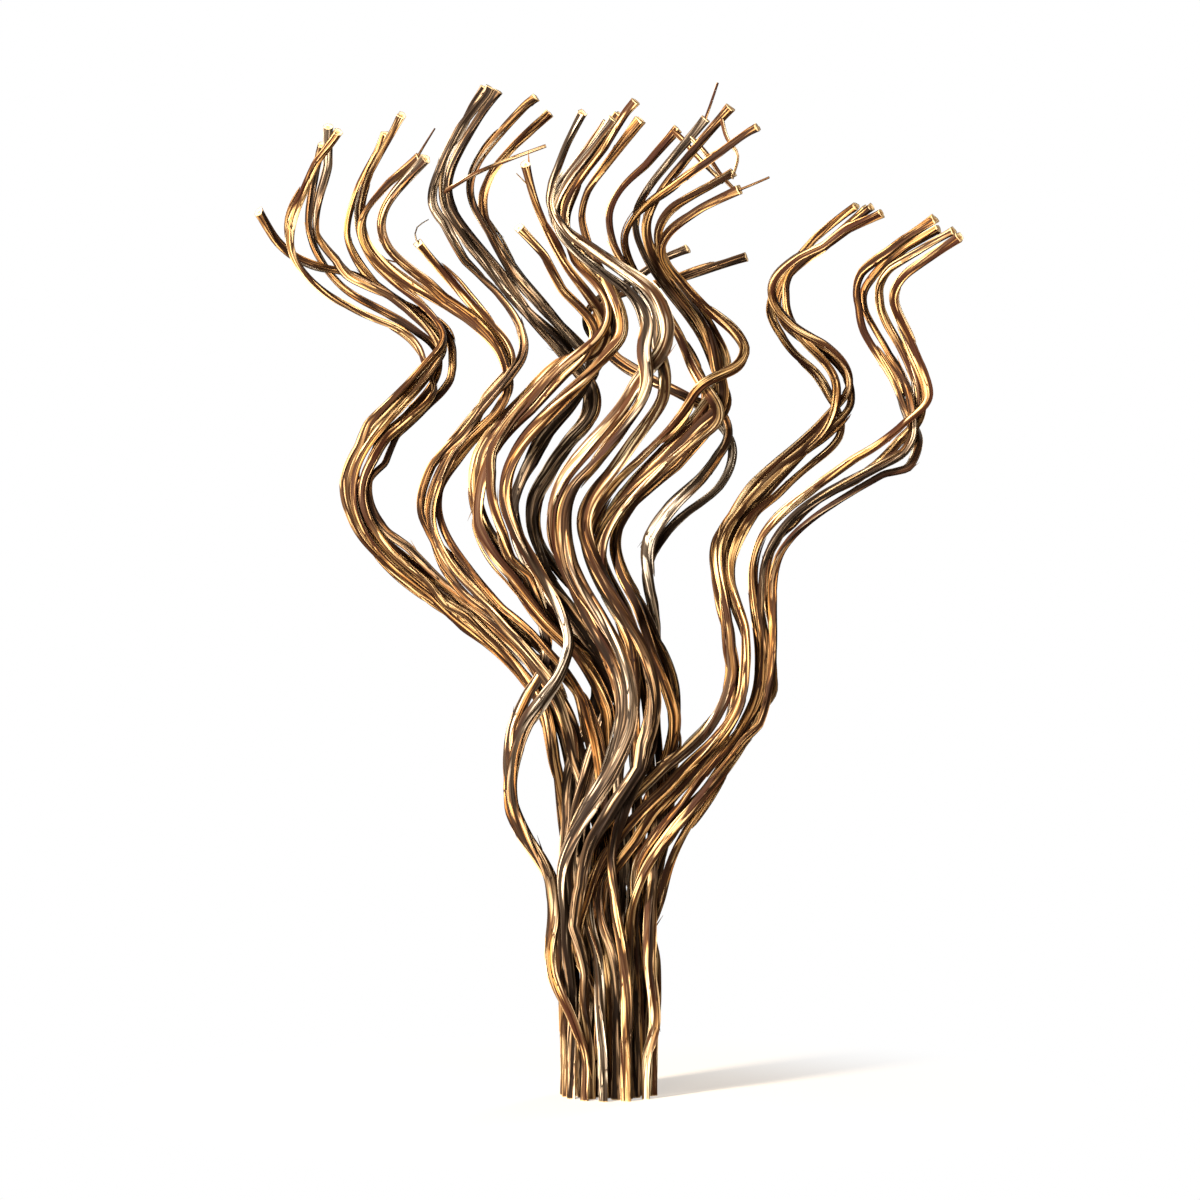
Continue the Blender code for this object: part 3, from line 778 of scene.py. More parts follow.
@dataclass(frozen=True)
class CutFinish:
    """The sawn end of a stem: cream fibre with a warmer heart, fine pores and a brown rim of bark."""

    name: str = "cut_end"
    wood: Colour = linear("#F0DCB2")
    heart: Colour = linear("#D9A868")
    pore: Colour = linear("#8A5C30")
    bark: Colour = linear("#6B4424")
    roughness: float = 0.75
    pore_lean: tuple = (1600.0, 1600.0, 1600.0)  # pores for each metre
    cloud_lean: tuple = (2.0, 2.0, 1.0)
    heart_cover: Cover = Cover(1.0, 0.9, 0.4)
    heart_sway: float = 0.5  # how far the clouds move its border
    pore_cover: Cover = Cover(0.7, 0.58, 0.68)
    bark_cover: Cover = Cover(1.0, 0.94, 1.04)
    bark_sway: float = 0.16
    bump_mm: float = 0.15
    bump_strength: float = 0.8

    def material(self) -> bpy.types.Material:
        """Builds the material.

        Returns:
            The material.
        """
        material, desk, shader = new_material(self.name)
        reach = desk.carried("reach")
        pores = desk.noise(desk.use("ShaderNodeTexCoord", key="Object"), self.pore_lean, detail=1.0)
        clouds = desk.noise(desk.carried(GRAIN.name, "Vector"), self.cloud_lean, detail=2.0)
        base = desk.mix(self.heart_cover.over(desk, reach + clouds * self.heart_sway), self.wood, self.heart)
        layers = (
            (self.pore_cover.over(desk, pores), self.pore),
            (self.bark_cover.over(desk, reach + clouds * self.bark_sway), self.bark),
        )
        looks = {
            "Base Color": desk.layered(base, layers),
            "Roughness": self.roughness,
            "Normal": desk.bump(1 - pores, self.bump_mm * MM, self.bump_strength),
        }
        desk.feed(shader, looks)
        return material


@dataclass(frozen=True)
class StemRings:
    """A packed stem read back: rings of seven corners from its foot to its tip."""

    name: str
    corners: np.ndarray  # (rings, 7, 3), the same ridge first in every ring

    SIDES = 7
    RIDGES = (0, 2, 4, 6)
    VALLEYS = (1, 3, 5)
    FLOOR = 1e-5  # what lies below this height stands on the ground
    WELD = 1e-6

    @classmethod
    def read(cls, node: bpy.types.Object) -> "StemRings":
        """Reads a stem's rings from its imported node.

        Args:
            node: The node, whose mesh is left alone.

        Returns:
            The rings.
        """
        bm = bmesh.new()
        bm.from_mesh(node.data)
        bmesh.ops.remove_doubles(bm, verts=bm.verts, dist=cls.WELD)
        foot = [v for v in bm.verts if v.co.z < cls.FLOOR]
        rings = cls.walk(foot)
        cap = cls.tip_cap(bm)
        if cap and not {v.index for v in cap} & {v.index for v in rings[-1]}:
            # a side shoot interrupts the walk, so the last rings are read from the tip down
            rings += [ring for ring in reversed(cls.walk(cap)[:-1]) if ring]
        corners = np.array([[v.co[:] for v in ring] for ring in rings])
        bm.free()
        return cls(node.name, cls.put_in_order(corners))

    @classmethod
    def walk(cls, start: list[bmesh.types.BMVert]) -> list[list[bmesh.types.BMVert]]:
        """Walks from one end to the other, ring by ring, for as long as a ring has seven corners.

        Args:
            start: The corners at the end where it starts.

        Returns:
            The rings that it found.
        """
        rings, seen, ring = [], set(start), list(start)
        while len(ring) == cls.SIDES:
            rings.append(ring)
            near = {edge.other_vert(corner) for corner in ring for edge in corner.link_edges}
            ring = sorted(near - seen, key=lambda corner: corner.index)
            seen.update(ring)
        return rings

    @classmethod
    def tip_cap(cls, bm: bmesh.types.BMesh) -> list[bmesh.types.BMVert]:
        """Finds the corners of the flat face at the tip.

        Args:
            bm: The stem, with its doubles merged.

        Returns:
            The corners, or none where a shoot hides the face.
        """
        planes: dict = {}
        for face in bm.faces:
            normal = tuple(round(x, 2) for x in face.normal)
            key = (*normal, round(face.normal.dot(face.verts[0].co), 4))
            planes.setdefault(key, set()).update(face.verts)
        caps = [corners for corners in planes.values() if len(corners) == cls.SIDES]
        heights = [max(corner.co.z for corner in corners) for corners in caps]
        if not caps or max(heights) <= cls.FLOOR:
            return []
        return sorted(caps[heights.index(max(heights))], key=lambda corner: corner.index)

    @classmethod
    def put_in_order(cls, corners: np.ndarray) -> np.ndarray:
        """Sorts each ring's corners round the stem and turns it so that the same ridge comes first.

        Two ridges stand side by side and the others have a valley between them, so the right turn is
        the one that puts the short radii on the valleys.

        Args:
            corners: The rings with their corners in any order.

        Returns:
            The sorted rings.
        """
        centres = corners.mean(axis=1)
        along, first, second = carried_frames(centres)
        along[0], first[0], second[0] = np.eye(3)[2], np.eye(3)[0], np.eye(3)[1]
        ordered = []
        for ring, centre, way, right, up in zip(corners, centres, along, first, second):
            offsets = ring - centre
            angles = np.arctan2(offsets @ up, offsets @ right)
            ring, offsets = ring[np.argsort(angles)], offsets[np.argsort(angles)]
            lengths = np.linalg.norm(offsets - np.outer(offsets @ way, way), axis=1)
            in_valleys = [np.roll(lengths, -turn)[list(cls.VALLEYS)].sum() for turn in range(cls.SIDES)]
            ordered.append(np.roll(ring, -int(np.argmin(in_valleys)), axis=0))
        return np.array(ordered)


@dataclass
class StemForm:
    """A fine stem on the path of a packed one: its sweep, its fibres, its ends and its relief."""

    rings: StemRings
    dress: Sequence[tuple[float, Tone]]  # (height in mm, bark) from the foot up
    seed: int
    peel_mm: float = 0.0  # height up to which the bark has come off, or 0
    per_face: int = 6  # columns between one crease line and the next
    spacing: float = 2.7 * MM
    softening: int = 6
    kink: float = 1.1 * MM
    kink_gap: tuple = (14 * MM, 38 * MM)
    kinks_from: tuple = (30 * MM, 100 * MM)  # heights between which the kinks come in
    crease_sway: float = 0.26
    crease_run: float = 34 * MM
    crease_uneven: float = 0.11
    face_bow: tuple = (-0.03, 0.07)
    end_steps_mm: tuple = (0.0, 0.35, 0.9, 1.8)  # the rings next to each end
    tip_flare: float = 0.55 * MM
    tip_flare_run: float = 4.5 * MM
    foot_flare: float = 0.12 * MM
    foot_flare_run: float = 1.5 * MM
    cap_shares: tuple = (0.93, 0.7, 0.4, 0.12)  # the rings on each cut face, as shares of its radius
    cap_dish: float = 0.35 * MM
    flat_share: float = 0.28  # how much thinner a flattened stretch is than the rest, and how much wider
    wide_share: float = 0.26
    flat_run: float = 110 * MM  # over which its wide side turns by one radian
    flat_start: float = 60 * MM
    flat_rise: float = 120 * MM
    flat_end: float = 80 * MM
    flat_strength: tuple = (0.5, 1.0)
    rim_run: float = 0.5 * MM
    tone_sway_mm: float = 26.0  # how far the border between two tones wanders up and down round the stem
    tone_waves: tuple = (2, 3)
    tone_turn: float = 60.0  # radians for each metre
    peel_run_mm: float = 12.0  # over which the peel attribute runs from 0 to 1
    peel_teeth: tuple = ((2, 8.0), (5, 3.5))  # teeth round the stem, and their height in millimetres
    line: np.ndarray = field(init=False)
    run: np.ndarray = field(init=False)

    MOST_KINKS = 100
    PHASES = (0, 6)  # about one whole turn
    CAP_PLACES = (0.25, 0.75)  # where the two middle faces lie up the map, and their size on it
    CAP_SPOT = 0.0005

    def __post_init__(self) -> None:
        """Works out the stem's centre line, frames and girth."""
        centres = self.rings.corners.mean(axis=1)
        centres[0, 2] = 0.0
        coarse = run_along(centres)
        even = np.linspace(0, coarse[-1], int(coarse[-1] / self.spacing))
        line = smooth_through(centres, coarse, even)
        for _ in range(self.softening):
            line[1:-1] = 0.5 * line[1:-1] + 0.25 * (line[:-2] + line[2:])
        self.columns = self.per_face * StemRings.SIDES
        self.draw = np.random.default_rng(self.seed)
        line += self.kinks(line)
        length = run_along(line)[-1]
        ends = np.array(self.end_steps_mm) * MM
        inner = np.arange(ends[-1] + self.spacing, length - ends[-1], self.spacing)
        self.run = np.concatenate([ends, inner, length - ends[::-1]])
        fine = run_along(line)
        self.line = np.stack([np.interp(self.run, fine, axis) for axis in line.T], axis=1)
        self.along, self.right, self.up = carried_frames(line)
        self.along, self.right, self.up = (
            unit(np.stack([np.interp(self.run, fine, axis) for axis in each.T], axis=1))
            for each in (self.along, self.right, self.up)
        )
        self.read_girth(centres, coarse / coarse[-1] * length)

    def read_girth(self, centres: np.ndarray, places: np.ndarray) -> None:
        """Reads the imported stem's spin and its radii round it, at every step of the fine line.

        Args:
            centres: The middle of each packed ring.
            places: How far along the fine line each of them lies.
        """
        spins, lengths = [], []
        for ring, centre, place in zip(self.rings.corners, centres, places):
            at = int(np.argmin(np.abs(self.run - place)))
            offsets = ring - centre
            flat = offsets - np.outer(offsets @ self.along[at], self.along[at])
            spins.append(math.atan2(flat[0] @ self.up[at], flat[0] @ self.right[at]))
            lengths.append(np.linalg.norm(flat, axis=1))
        self.spin = np.interp(self.run, places, np.unwrap(spins))
        self.radii = np.stack([np.interp(self.run, places, row) for row in np.array(lengths).T], axis=1)

    def kinks(self, line: np.ndarray) -> np.ndarray:
        """Works out the small sharp bends that a dry stem has, as a shift of every point of its line.

        Args:
            line: The line's points.

        Returns:
            The shift of each.
        """
        run = run_along(line)
        places = np.cumsum(self.draw.uniform(*self.kink_gap, self.MOST_KINKS))
        shifts = self.draw.normal(0, self.kink, (len(places), 3))
        share = np.clip(np.interp(line[:, 2], self.kinks_from, (0, 1)), 0, 1)
        return np.stack([np.interp(run, places, axis) for axis in shifts.T], axis=1) * share[:, None]

    def wander(self, length: float, count: int) -> np.ndarray:
        """Draws smooth random curves along the stem.

        Args:
            length: How far apart their turns are.
            count: How many curves.

        Returns:
            A value from about -1 to 1 for every step and curve.
        """
        knots = np.arange(-1, self.run[-1] / length + 2) * length
        return smooth_through(self.draw.uniform(-1, 1, (len(knots), count)), knots, self.run)

    def section(self) -> tuple[np.ndarray, np.ndarray]:
        """Works out the stem's flat faces between wandering crease lines.

        Returns:
            Each column's angle in the fibres, and its offset from the centre line, at every step.
        """
        sides, steps = StemRings.SIDES, len(self.run)
        corners = 2 * math.pi * np.arange(sides) / sides
        angles = corners + self.wander(self.crease_run, sides) * self.crease_sway
        radius = self.radii * (1 + self.wander(self.crease_run, sides) * self.crease_uneven)
        left = self.run[-1] - self.run
        turn = self.draw.uniform(0, 2 * math.pi) + self.run / self.flat_run * self.draw.choice((-1.0, 1.0))
        flatness = np.clip((self.run - self.flat_start) / self.flat_rise, 0, 1)
        flatness = flatness * np.clip(left / self.flat_end, 0, 1)
        flatness = (flatness * self.draw.uniform(*self.flat_strength))[:, None]
        edge = 0.5 + 0.5 * np.cos(2 * (angles - turn[:, None]))
        radius = radius * (1 + flatness * (self.wide_share * edge - self.flat_share * (1 - edge)))
        radius += (self.tip_flare * np.exp(-left / self.tip_flare_run))[:, None]
        radius += (self.foot_flare * np.exp(-self.run / self.foot_flare_run))[:, None]

        share = np.arange(self.per_face) / self.per_face
        turned = angles + self.spin[:, None]
        flat = np.stack([radius * np.cos(turned), radius * np.sin(turned)], axis=-1)
        after = np.roll(flat, -1, axis=1)
        spread = flat[:, :, None] * (1 - share)[:, None] + after[:, :, None] * share[:, None]
        low, high = self.face_bow
        bow = (low + high) / 2 + self.wander(self.crease_run, sides) * (high - low) / 2
        spread *= (1 + bow[:, :, None] * 4 * share * (1 - share))[..., None]
        spread = spread.reshape(steps, -1, 2)
        offsets = self.right[:, None] * spread[..., :1] + self.up[:, None] * spread[..., 1:]
        following = np.roll(angles, -1, axis=1)
        following[:, -1] += 2 * math.pi
        fibre = angles[..., None] * (1 - share) + following[..., None] * share
        return fibre.reshape(steps, -1), offsets

    def with_caps(self, rows: np.ndarray) -> np.ndarray:
        """Repeats a stem's first and last row of values for the rings of its two cut faces."""
        ends = len(self.cap_shares)
        return np.concatenate([rows[:1].repeat(ends, axis=0), rows, rows[-1:].repeat(ends, axis=0)])

    def core_mesh(self) -> bpy.types.Mesh:
        """Sweeps the fine tube with its two cut faces and writes the attributes that follow its fibres.

        Returns:
            The stem's mesh.
        """
        fibre, offsets = self.section()
        self.fibre, self.reach = fibre, np.linalg.norm(offsets, axis=-1)
        last = self.rings.corners[-1]
        normal = np.linalg.svd(last - last.mean(axis=0))[2][2]
        slant = -(offsets[-1] @ normal) / (self.along[-1] @ normal)
        dish = [(1 - share**2) * self.cap_dish for share in self.cap_shares]
        ends, rim = len(dish), len(dish) + len(self.run) - 1
        self.shares = np.concatenate([self.cap_shares[::-1], np.ones(len(self.run)), self.cap_shares])
        rows = self.with_caps(offsets) * self.shares[:, None, None]
        core = self.with_caps(self.line)
        core[:ends, 2] += dish[::-1]
        for ring, depth in enumerate((0.0, *dish), start=rim):
            rows[ring] += self.along[-1] * (slant * self.shares[ring])[:, None]
            core[ring] -= self.along[-1] * depth
        points = core[:, None] + rows
        points[ends, :, 2] = 0
        mesh = self.tube_faces(points)
        self.write_fibres(mesh, core, self.with_caps(fibre))
        return mesh

    def at(self, values: np.ndarray, run: np.ndarray) -> np.ndarray:
        """Reads the stem's line, a direction or another row of values at places along it."""
        return np.stack([np.interp(run, self.run, axis) for axis in values.T], axis=1)

    def surface(self, run: np.ndarray, angle: np.ndarray) -> tuple[np.ndarray, np.ndarray]:
        """Finds places on the bark.

        Args:
            run: How far along the stem each place is.
            angle: Its angle in the fibres.

        Returns:
            The places, and the direction straight out of the bark at each.
        """
        turned = angle + np.interp(run, self.run, self.spin)
        outward = self.at(self.right, run) * np.cos(turned)[:, None]
        outward += self.at(self.up, run) * np.sin(turned)[:, None]
        steps = np.clip(np.searchsorted(self.run, run), 0, len(self.run) - 1)
        reach = [
            np.interp(turn, self.fibre[step], self.reach[step], period=2 * math.pi)
            for turn, step in zip(angle, steps)
        ]
        return self.at(self.line, run) + outward * np.array(reach)[:, None], outward

    def tone_at(self, run: float) -> Tone:
        """Finds the bark that the stem has nearest to a place along it."""
        height = np.interp(run, self.run, self.line[:, 2]) / MM
        return min(self.dress, key=lambda stop: abs(stop[0] - height))[1]

    def tube_faces(self, points: np.ndarray) -> bpy.types.Mesh:
        """Joins rings of points to a closed tube.

        Args:
            points: Rings of points from inside the foot's cap to inside the tip's cap.

        Returns:
            The mesh, with a small face closing the middle of each cap.
        """
        count, columns = points.shape[:2]
        here = np.arange(columns)
        after = (here + 1) % columns
        quads = [
            np.stack([row * columns + here, row * columns + after, (row + 1) * columns + after,
                      (row + 1) * columns + here], axis=1)
            for row in range(count - 1)
        ]
        faces = np.concatenate(quads).tolist()
        faces.append(list(reversed(range(columns))))
        faces.append([(count - 1) * columns + column for column in range(columns)])
        mesh = bpy.data.meshes.new(self.rings.name)
        mesh.from_pydata(points.reshape(-1, 3).tolist(), [], faces)
        return mesh

    def write_fibres(self, mesh: bpy.types.Mesh, core: np.ndarray, angle: np.ndarray) -> None:
        """Writes the core line, the fibre coordinates, the bark colours and the ends as attributes.

        Args:
            mesh: The tube.
            core: The centre of each of its rings.
            angle: Each column's angle in the fibres, at every ring.
        """
        shares, run = self.shares, self.with_caps(self.run)
        start = self.draw.uniform(*GRAIN_START, 3)
        grain = np.stack([
            np.cos(angle) * shares[:, None] + start[0],
            np.sin(angle) * shares[:, None] + start[1],
            np.repeat(run[:, None], self.columns, axis=1) / Grain.RUN + start[2],
        ], axis=-1)
        write_attribute(mesh, GRAIN.name, "FLOAT_VECTOR", grain)
        for name, values in (("core", core), ("heading", self.with_caps(self.along))):
            write_attribute(mesh, name, "FLOAT_VECTOR", np.repeat(values[:, None], self.columns, axis=1))
        near_end = np.minimum(run, run[-1] - run)
        rim = np.clip(1 - near_end / self.rim_run, 0, 1) * (shares == 1)
        for name, values in (("reach", shares), ("rim", rim), ("cap", (shares < 1) * 1.0)):
            write_attribute(mesh, name, "FLOAT", np.repeat(values[:, None], self.columns, axis=1))
        # edge: 1 on the ridge lines, which get a painted highlight, and -1 on the valley lines, which get
        # painted shade
        crease = np.zeros((len(run), StemRings.SIDES, self.per_face))
        crease[:, StemRings.RIDGES, 0] = 1
        crease[:, StemRings.VALLEYS, 0] = -1
        write_attribute(mesh, "edge", "FLOAT", crease * (shares == 1)[:, None, None])
        self.write_peel(mesh, run, angle)
        self.write_tones(mesh, run, angle)
        self.write_map(mesh, len(run))

    def write_peel(self, mesh: bpy.types.Mesh, run: np.ndarray, angle: np.ndarray) -> None:
        """Writes how far each point lies inside the peeled foot, whose upper edge has teeth.

        Args:
            mesh: The tube.
            run: How far along the stem each ring lies.
            angle: Each column's angle in the fibres, at every ring.
        """
        teeth = sum(
            tall * (2 / math.pi) * np.arcsin(np.sin(count * angle + self.draw.uniform(*self.PHASES)))
            for count, tall in self.peel_teeth
        )
        peel = 0.5 + (self.peel_mm + teeth - run[:, None] / MM) / self.peel_run_mm
        write_attribute(mesh, "peel", "FLOAT", np.clip(peel, 0, 1) * (self.peel_mm > 0))

    def write_tones(self, mesh: bpy.types.Mesh, run: np.ndarray, angle: np.ndarray) -> None:
        """Writes the bark's colours, with borders that wander round the stem.

        Args:
            mesh: The tube.
            run: How far along the stem each ring lies.
            angle: Each column's angle in the fibres, at every ring.
        """
        few, more = self.tone_waves
        sway = np.sin(few * angle + self.draw.uniform(*self.PHASES))
        sway = sway + np.sin(more * angle + run[:, None] * self.tone_turn)
        at = self.with_caps(self.line)[:, 2:] / MM + self.tone_sway_mm * sway
        stops = [stop for stop, _ in self.dress]
        for part in BARK_PARTS:
            colours = np.array([getattr(tone.value, part) for _, tone in self.dress])
            read = np.stack([np.interp(at, stops, column) for column in colours.T], axis=-1)
            write_attribute(mesh, part, "FLOAT_COLOR", read)

    def write_map(self, mesh: bpy.types.Mesh, rows: int, strips: int = 6, gap: float = 0.01) -> None:
        """Unrolls the stem into upright strips side by side, so that a baked texture keeps its fibres.

        Args:
            mesh: The tube.
            rows: How many rings of points it has.
            strips: How many lengths it is cut into.
            gap: Free space round each strip, as a share of the map.
        """
        columns = self.columns
        layer = mesh.uv_layers.new(name=BAKE_MAP)
        corners = np.zeros(len(mesh.loops), np.int64)
        mesh.loops.foreach_get("vertex_index", corners)
        row, column = corners // columns, corners % columns
        faces = len(mesh.polygons) - 2
        face_row = np.repeat(np.arange(faces) // columns, 4)
        face_column = np.repeat(np.arange(faces) % columns, 4)
        body = len(face_row)
        closes = (column[:body] == 0) & (face_column == columns - 1)
        across = np.where(closes, columns, column[:body]) / columns
        each = math.ceil((rows - 1) / strips)
        strip = face_row // each
        up = (row[:body] - strip * each) / each
        width = 1 / strips
        places = np.zeros((len(corners), 2))
        places[:body, 0] = (strip + gap + across * (1 - 2 * gap)) * width
        places[:body, 1] = gap + up * (1 - 2 * gap)
        angle = 2 * math.pi * column[body:] / columns
        places[body:, 0] = 1 - 2 * self.CAP_SPOT + self.CAP_SPOT * np.cos(angle)
        places[body:, 1] = np.repeat(self.CAP_PLACES, columns) + self.CAP_SPOT * np.sin(angle)
        layer.data.foreach_set("uv", places.astype(np.float32).ravel())


@dataclass
class Carving:
    """The Geometry Nodes tree that carves a stem, with its depths as shares of the stem's radius."""

    rib_depth: float = 0.28
    tear_depth: float = 0.08
    peel_depth: float = 0.16
    fibre_depth: float = 0.03
    rib_widening: float = 2.4  # how much wider a carved rib is than its dark line
    rib_rise: Cover = Cover(1.0, 0.0, 1.15)
    tear_sharpness: float = 0.06
    peel_sharpness: float = 0.1
    fibre_lean: tuple = (5.0, 5.0, 5.0)
    cut_from: float = 0.2  # how much of a face's corners lies on the cap before it counts as cut

    DEPTHS = ("Rib depth", "Tear depth", "Peel depth", "Fibre depth")

    def __post_init__(self) -> None:
        """Builds the tree."""
        inputs = {name: "NodeSocketFloat" for name in self.DEPTHS}
        inputs |= {"Bark": "NodeSocketMaterial", "Cut end": "NodeSocketMaterial"}
        desk, given = start_tree("stem carving", inputs)
        point = desk.stored(GRAIN.name, "FLOAT_VECTOR")
        patterns = (
            self.rib_rise.over(desk, GRAIN.creases(desk, point, GRAIN.ribs, self.rib_widening)),
            GRAIN.torn(desk, point, self.tear_sharpness),
            GRAIN.peeled(desk, point, desk.stored("peel"), self.peel_sharpness),
            desk.noise(point, self.fibre_lean, detail=1.0),
        )
        cuts = [pattern * desk.out(given, name) for pattern, name in zip(patterns, self.DEPTHS)]
        inward = desk.vector("SUBTRACT", desk.stored("core", "FLOAT_VECTOR"), desk.position())
        carved = desk.moved(desk.out(given, "Geometry"), desk.scaled(inward, sum(cuts[1:], cuts[0])))
        bark = {"Geometry": carved, "Material": desk.out(given, "Bark")}
        barked = desk.use("GeometryNodeSetMaterial", {}, bark)
        on_cap = desk.math("GREATER_THAN", desk.stored("cap"), self.cut_from)
        self.tree = end_tree(desk, barked, desk.out(given, "Cut end"), on_cap)

    def carve(self, piece: bpy.types.Object, bark: bpy.types.Material, cut_end: bpy.types.Material) -> None:
        """Carves a stem and leaves it as a plain mesh.

        Args:
            piece: The stem's object with its swept mesh.
            bark: Its bark.
            cut_end: The material of its two ends.
        """
        depths = {name: getattr(self, name.lower().replace(" ", "_")) for name in self.DEPTHS}
        run_tree(piece, self.tree, depths | {"Bark": bark, "Cut end": cut_end})


@dataclass(frozen=True)
class Shoot:
    """A thin side shoot or peeled fibre that the photograph shows near a tip.

    Its points are (side, height, back) in millimetres from the stem's centre line, where it leaves it.
    """

    stem: str
    below_tip_mm: float
    points_mm: tuple
    radius_mm: float
    tone: Tone
    taper: float = 0.45


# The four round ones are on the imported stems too
ROUND_SHOOTS = (
    Shoot("stem_left_1", 4.0, ((5, 8, -2), (12, 19, -3)), 1.1, Tone.BROWN),
    Shoot("stem_dark_3", 70.0, ((20, 11, -8), (40, 19, -12), (62, 27, -14)), 1.8, Tone.PALE, 0.2),
    Shoot("stem_right_centre_1", 2.0, ((4, 11, -2), (8, 23, -3)), 1.2, Tone.GOLDEN, 0.2),
    Shoot("stem_right_centre_5", 3.0, ((8, 3, -3), (20, 8, -5)), 1.1, Tone.GOLDEN, 0.2),
)
FLAT_SHOOTS = (
    Shoot("stem_right_centre_6", 3.0, ((4, -4, -6), (14, -16, -10), (29, -31, -12)), 3.0, Tone.PALE, 0.3),
    Shoot("stem_right_centre_1", 14.0, ((9, -10, -4), (17, -22, -6), (28, -34, -8)), 2.7, Tone.PALE, 0.3),
    Shoot("stem_right_centre_2", 8.0, ((3, -12, -6), (9, -22, -9), (6, -36, -8)), 2.2, Tone.PALE, 0.3),
    Shoot("stem_left_3", 2.0, ((-3, 5, -2), (-2, 10, -3), (5, 15, -4)), 0.9, Tone.PALE),
    Shoot("stem_inner_left_1", 16.0, ((-4, 4, -3), (-9, 9, -4)), 0.9, Tone.PALE),
    Shoot("stem_far_left_6", 92.0, ((8, -6, -5), (18, -9, -6)), 1.3, Tone.GOLDEN),
)


@dataclass(frozen=True)
class Fibre:
    """The path of one strip, with what it carries at each point."""

    points: np.ndarray
    facing: np.ndarray  # the direction that its flat side faces
    radius: np.ndarray  # half of its width
    tone: Tone

    @classmethod
    def from_shoot(cls, shoot: Shoot, form: StemForm, step: float = 3 * MM, least: int = 4) -> "Fibre":
        """Lays the path of a shoot on its stem.

        Args:
            shoot: The shoot.
            form: The stem that it grew on.
            step: How far apart the path's points are.
            least: How many points it has at least.

        Returns:
            The path.
        """
        start = form.at(form.line, np.array([form.run[-1] - shoot.below_tip_mm * MM]))[0]
        knots = np.vstack([start, start + np.array(shoot.points_mm)[:, [0, 2, 1]] * MM])
        run = run_along(knots)
        fine = np.linspace(0, run[-1], max(int(run[-1] / step), least))
        points = smooth_through(knots, run, fine)
        share = fine / run[-1]
        along = unit(np.gradient(points, axis=0))
        front = np.array([0.0, -1.0, 0.0])
        facing = unit(front - along * (along @ front)[:, None])
        radius = shoot.radius_mm * MM * (1 - shoot.taper * share)
        return cls(points, facing, radius, shoot.tone)


@dataclass
class Peeling:
    """Draws the long thin strips of bark that have come loose from a stem."""

    seed: int
    count: int = 9
    lengths: tuple = (22 * MM, 75 * MM)
    widths: tuple = (0.7 * MM, 1.5 * MM)
    lifts: tuple = (0.2 * MM, 0.8 * MM)
    least_width: float = 0.12  # at the ends of a strip that lies down, against its middle
    free_lifts: tuple = (0.8 * MM, 2.0 * MM)
    free_share: float = 0.06  # how many have a loose end
    free_upwards: float = 0.6  # how many of those are loose at their upper end
    free_curl: float = 1.8
    free_taper: float = 0.9
    free_root: tuple = (0.3, 5)  # how wide a loose strip starts, and how soon it is at its full width
    lies_under: float = 0.2 * MM
    drift: float = 0.7  # how far a strip crosses the fibres, in radians
    low_end: float = 75 * MM
    high_end: float = 16 * MM
    step: float = 3 * MM
    paler: float = 0.35  # how many are paler than their stem

    PALER_TONES = (Tone.PALE, Tone.GOLDEN, Tone.SILVER)
    PALER_SHARES = (0.45, 0.35, 0.2)

    def draw(self, form: StemForm) -> list[Fibre]:
        """Draws the strips of one stem."""
        chance = np.random.default_rng(self.seed)
        return [self.strip(form, chance) for _ in range(self.count)]

    def strip(self, form: StemForm, chance: np.random.Generator) -> Fibre:
        """Draws one strip.

        Args:
            form: The stem that it lies on.
            chance: What its size and place are drawn with.

        Returns:
            Its path.
        """
        length = chance.uniform(*self.lengths)
        start = chance.uniform(self.low_end, form.run[-1] - self.high_end - length)
        run = np.arange(start, start + length, self.step)
        share = (run - start) / (run[-1] - start)
        angle = chance.uniform(0, 2 * math.pi) + chance.uniform(-self.drift, self.drift) * share
        width = chance.uniform(*self.widths)
        if chance.uniform() < self.free_share:
            share = share if chance.uniform() < self.free_upwards else 1 - share
            lift = chance.uniform(*self.free_lifts) * share**self.free_curl
            root, rise = self.free_root
            radius = width * (1 - self.free_taper * share) * np.minimum(1, root + share * rise)
        else:
            arch = np.sin(math.pi * share)
            lift = chance.uniform(*self.lifts) * arch
            radius = width * (self.least_width + (1 - self.least_width) * arch**0.5)
        places, outward = form.surface(run, angle)
        tone = form.tone_at(start + length / 2)
        if chance.uniform() < self.paler:
            tone = chance.choice(self.PALER_TONES, p=self.PALER_SHARES)
        return Fibre(places + outward * (lift - self.lies_under)[:, None], outward, radius, tone)


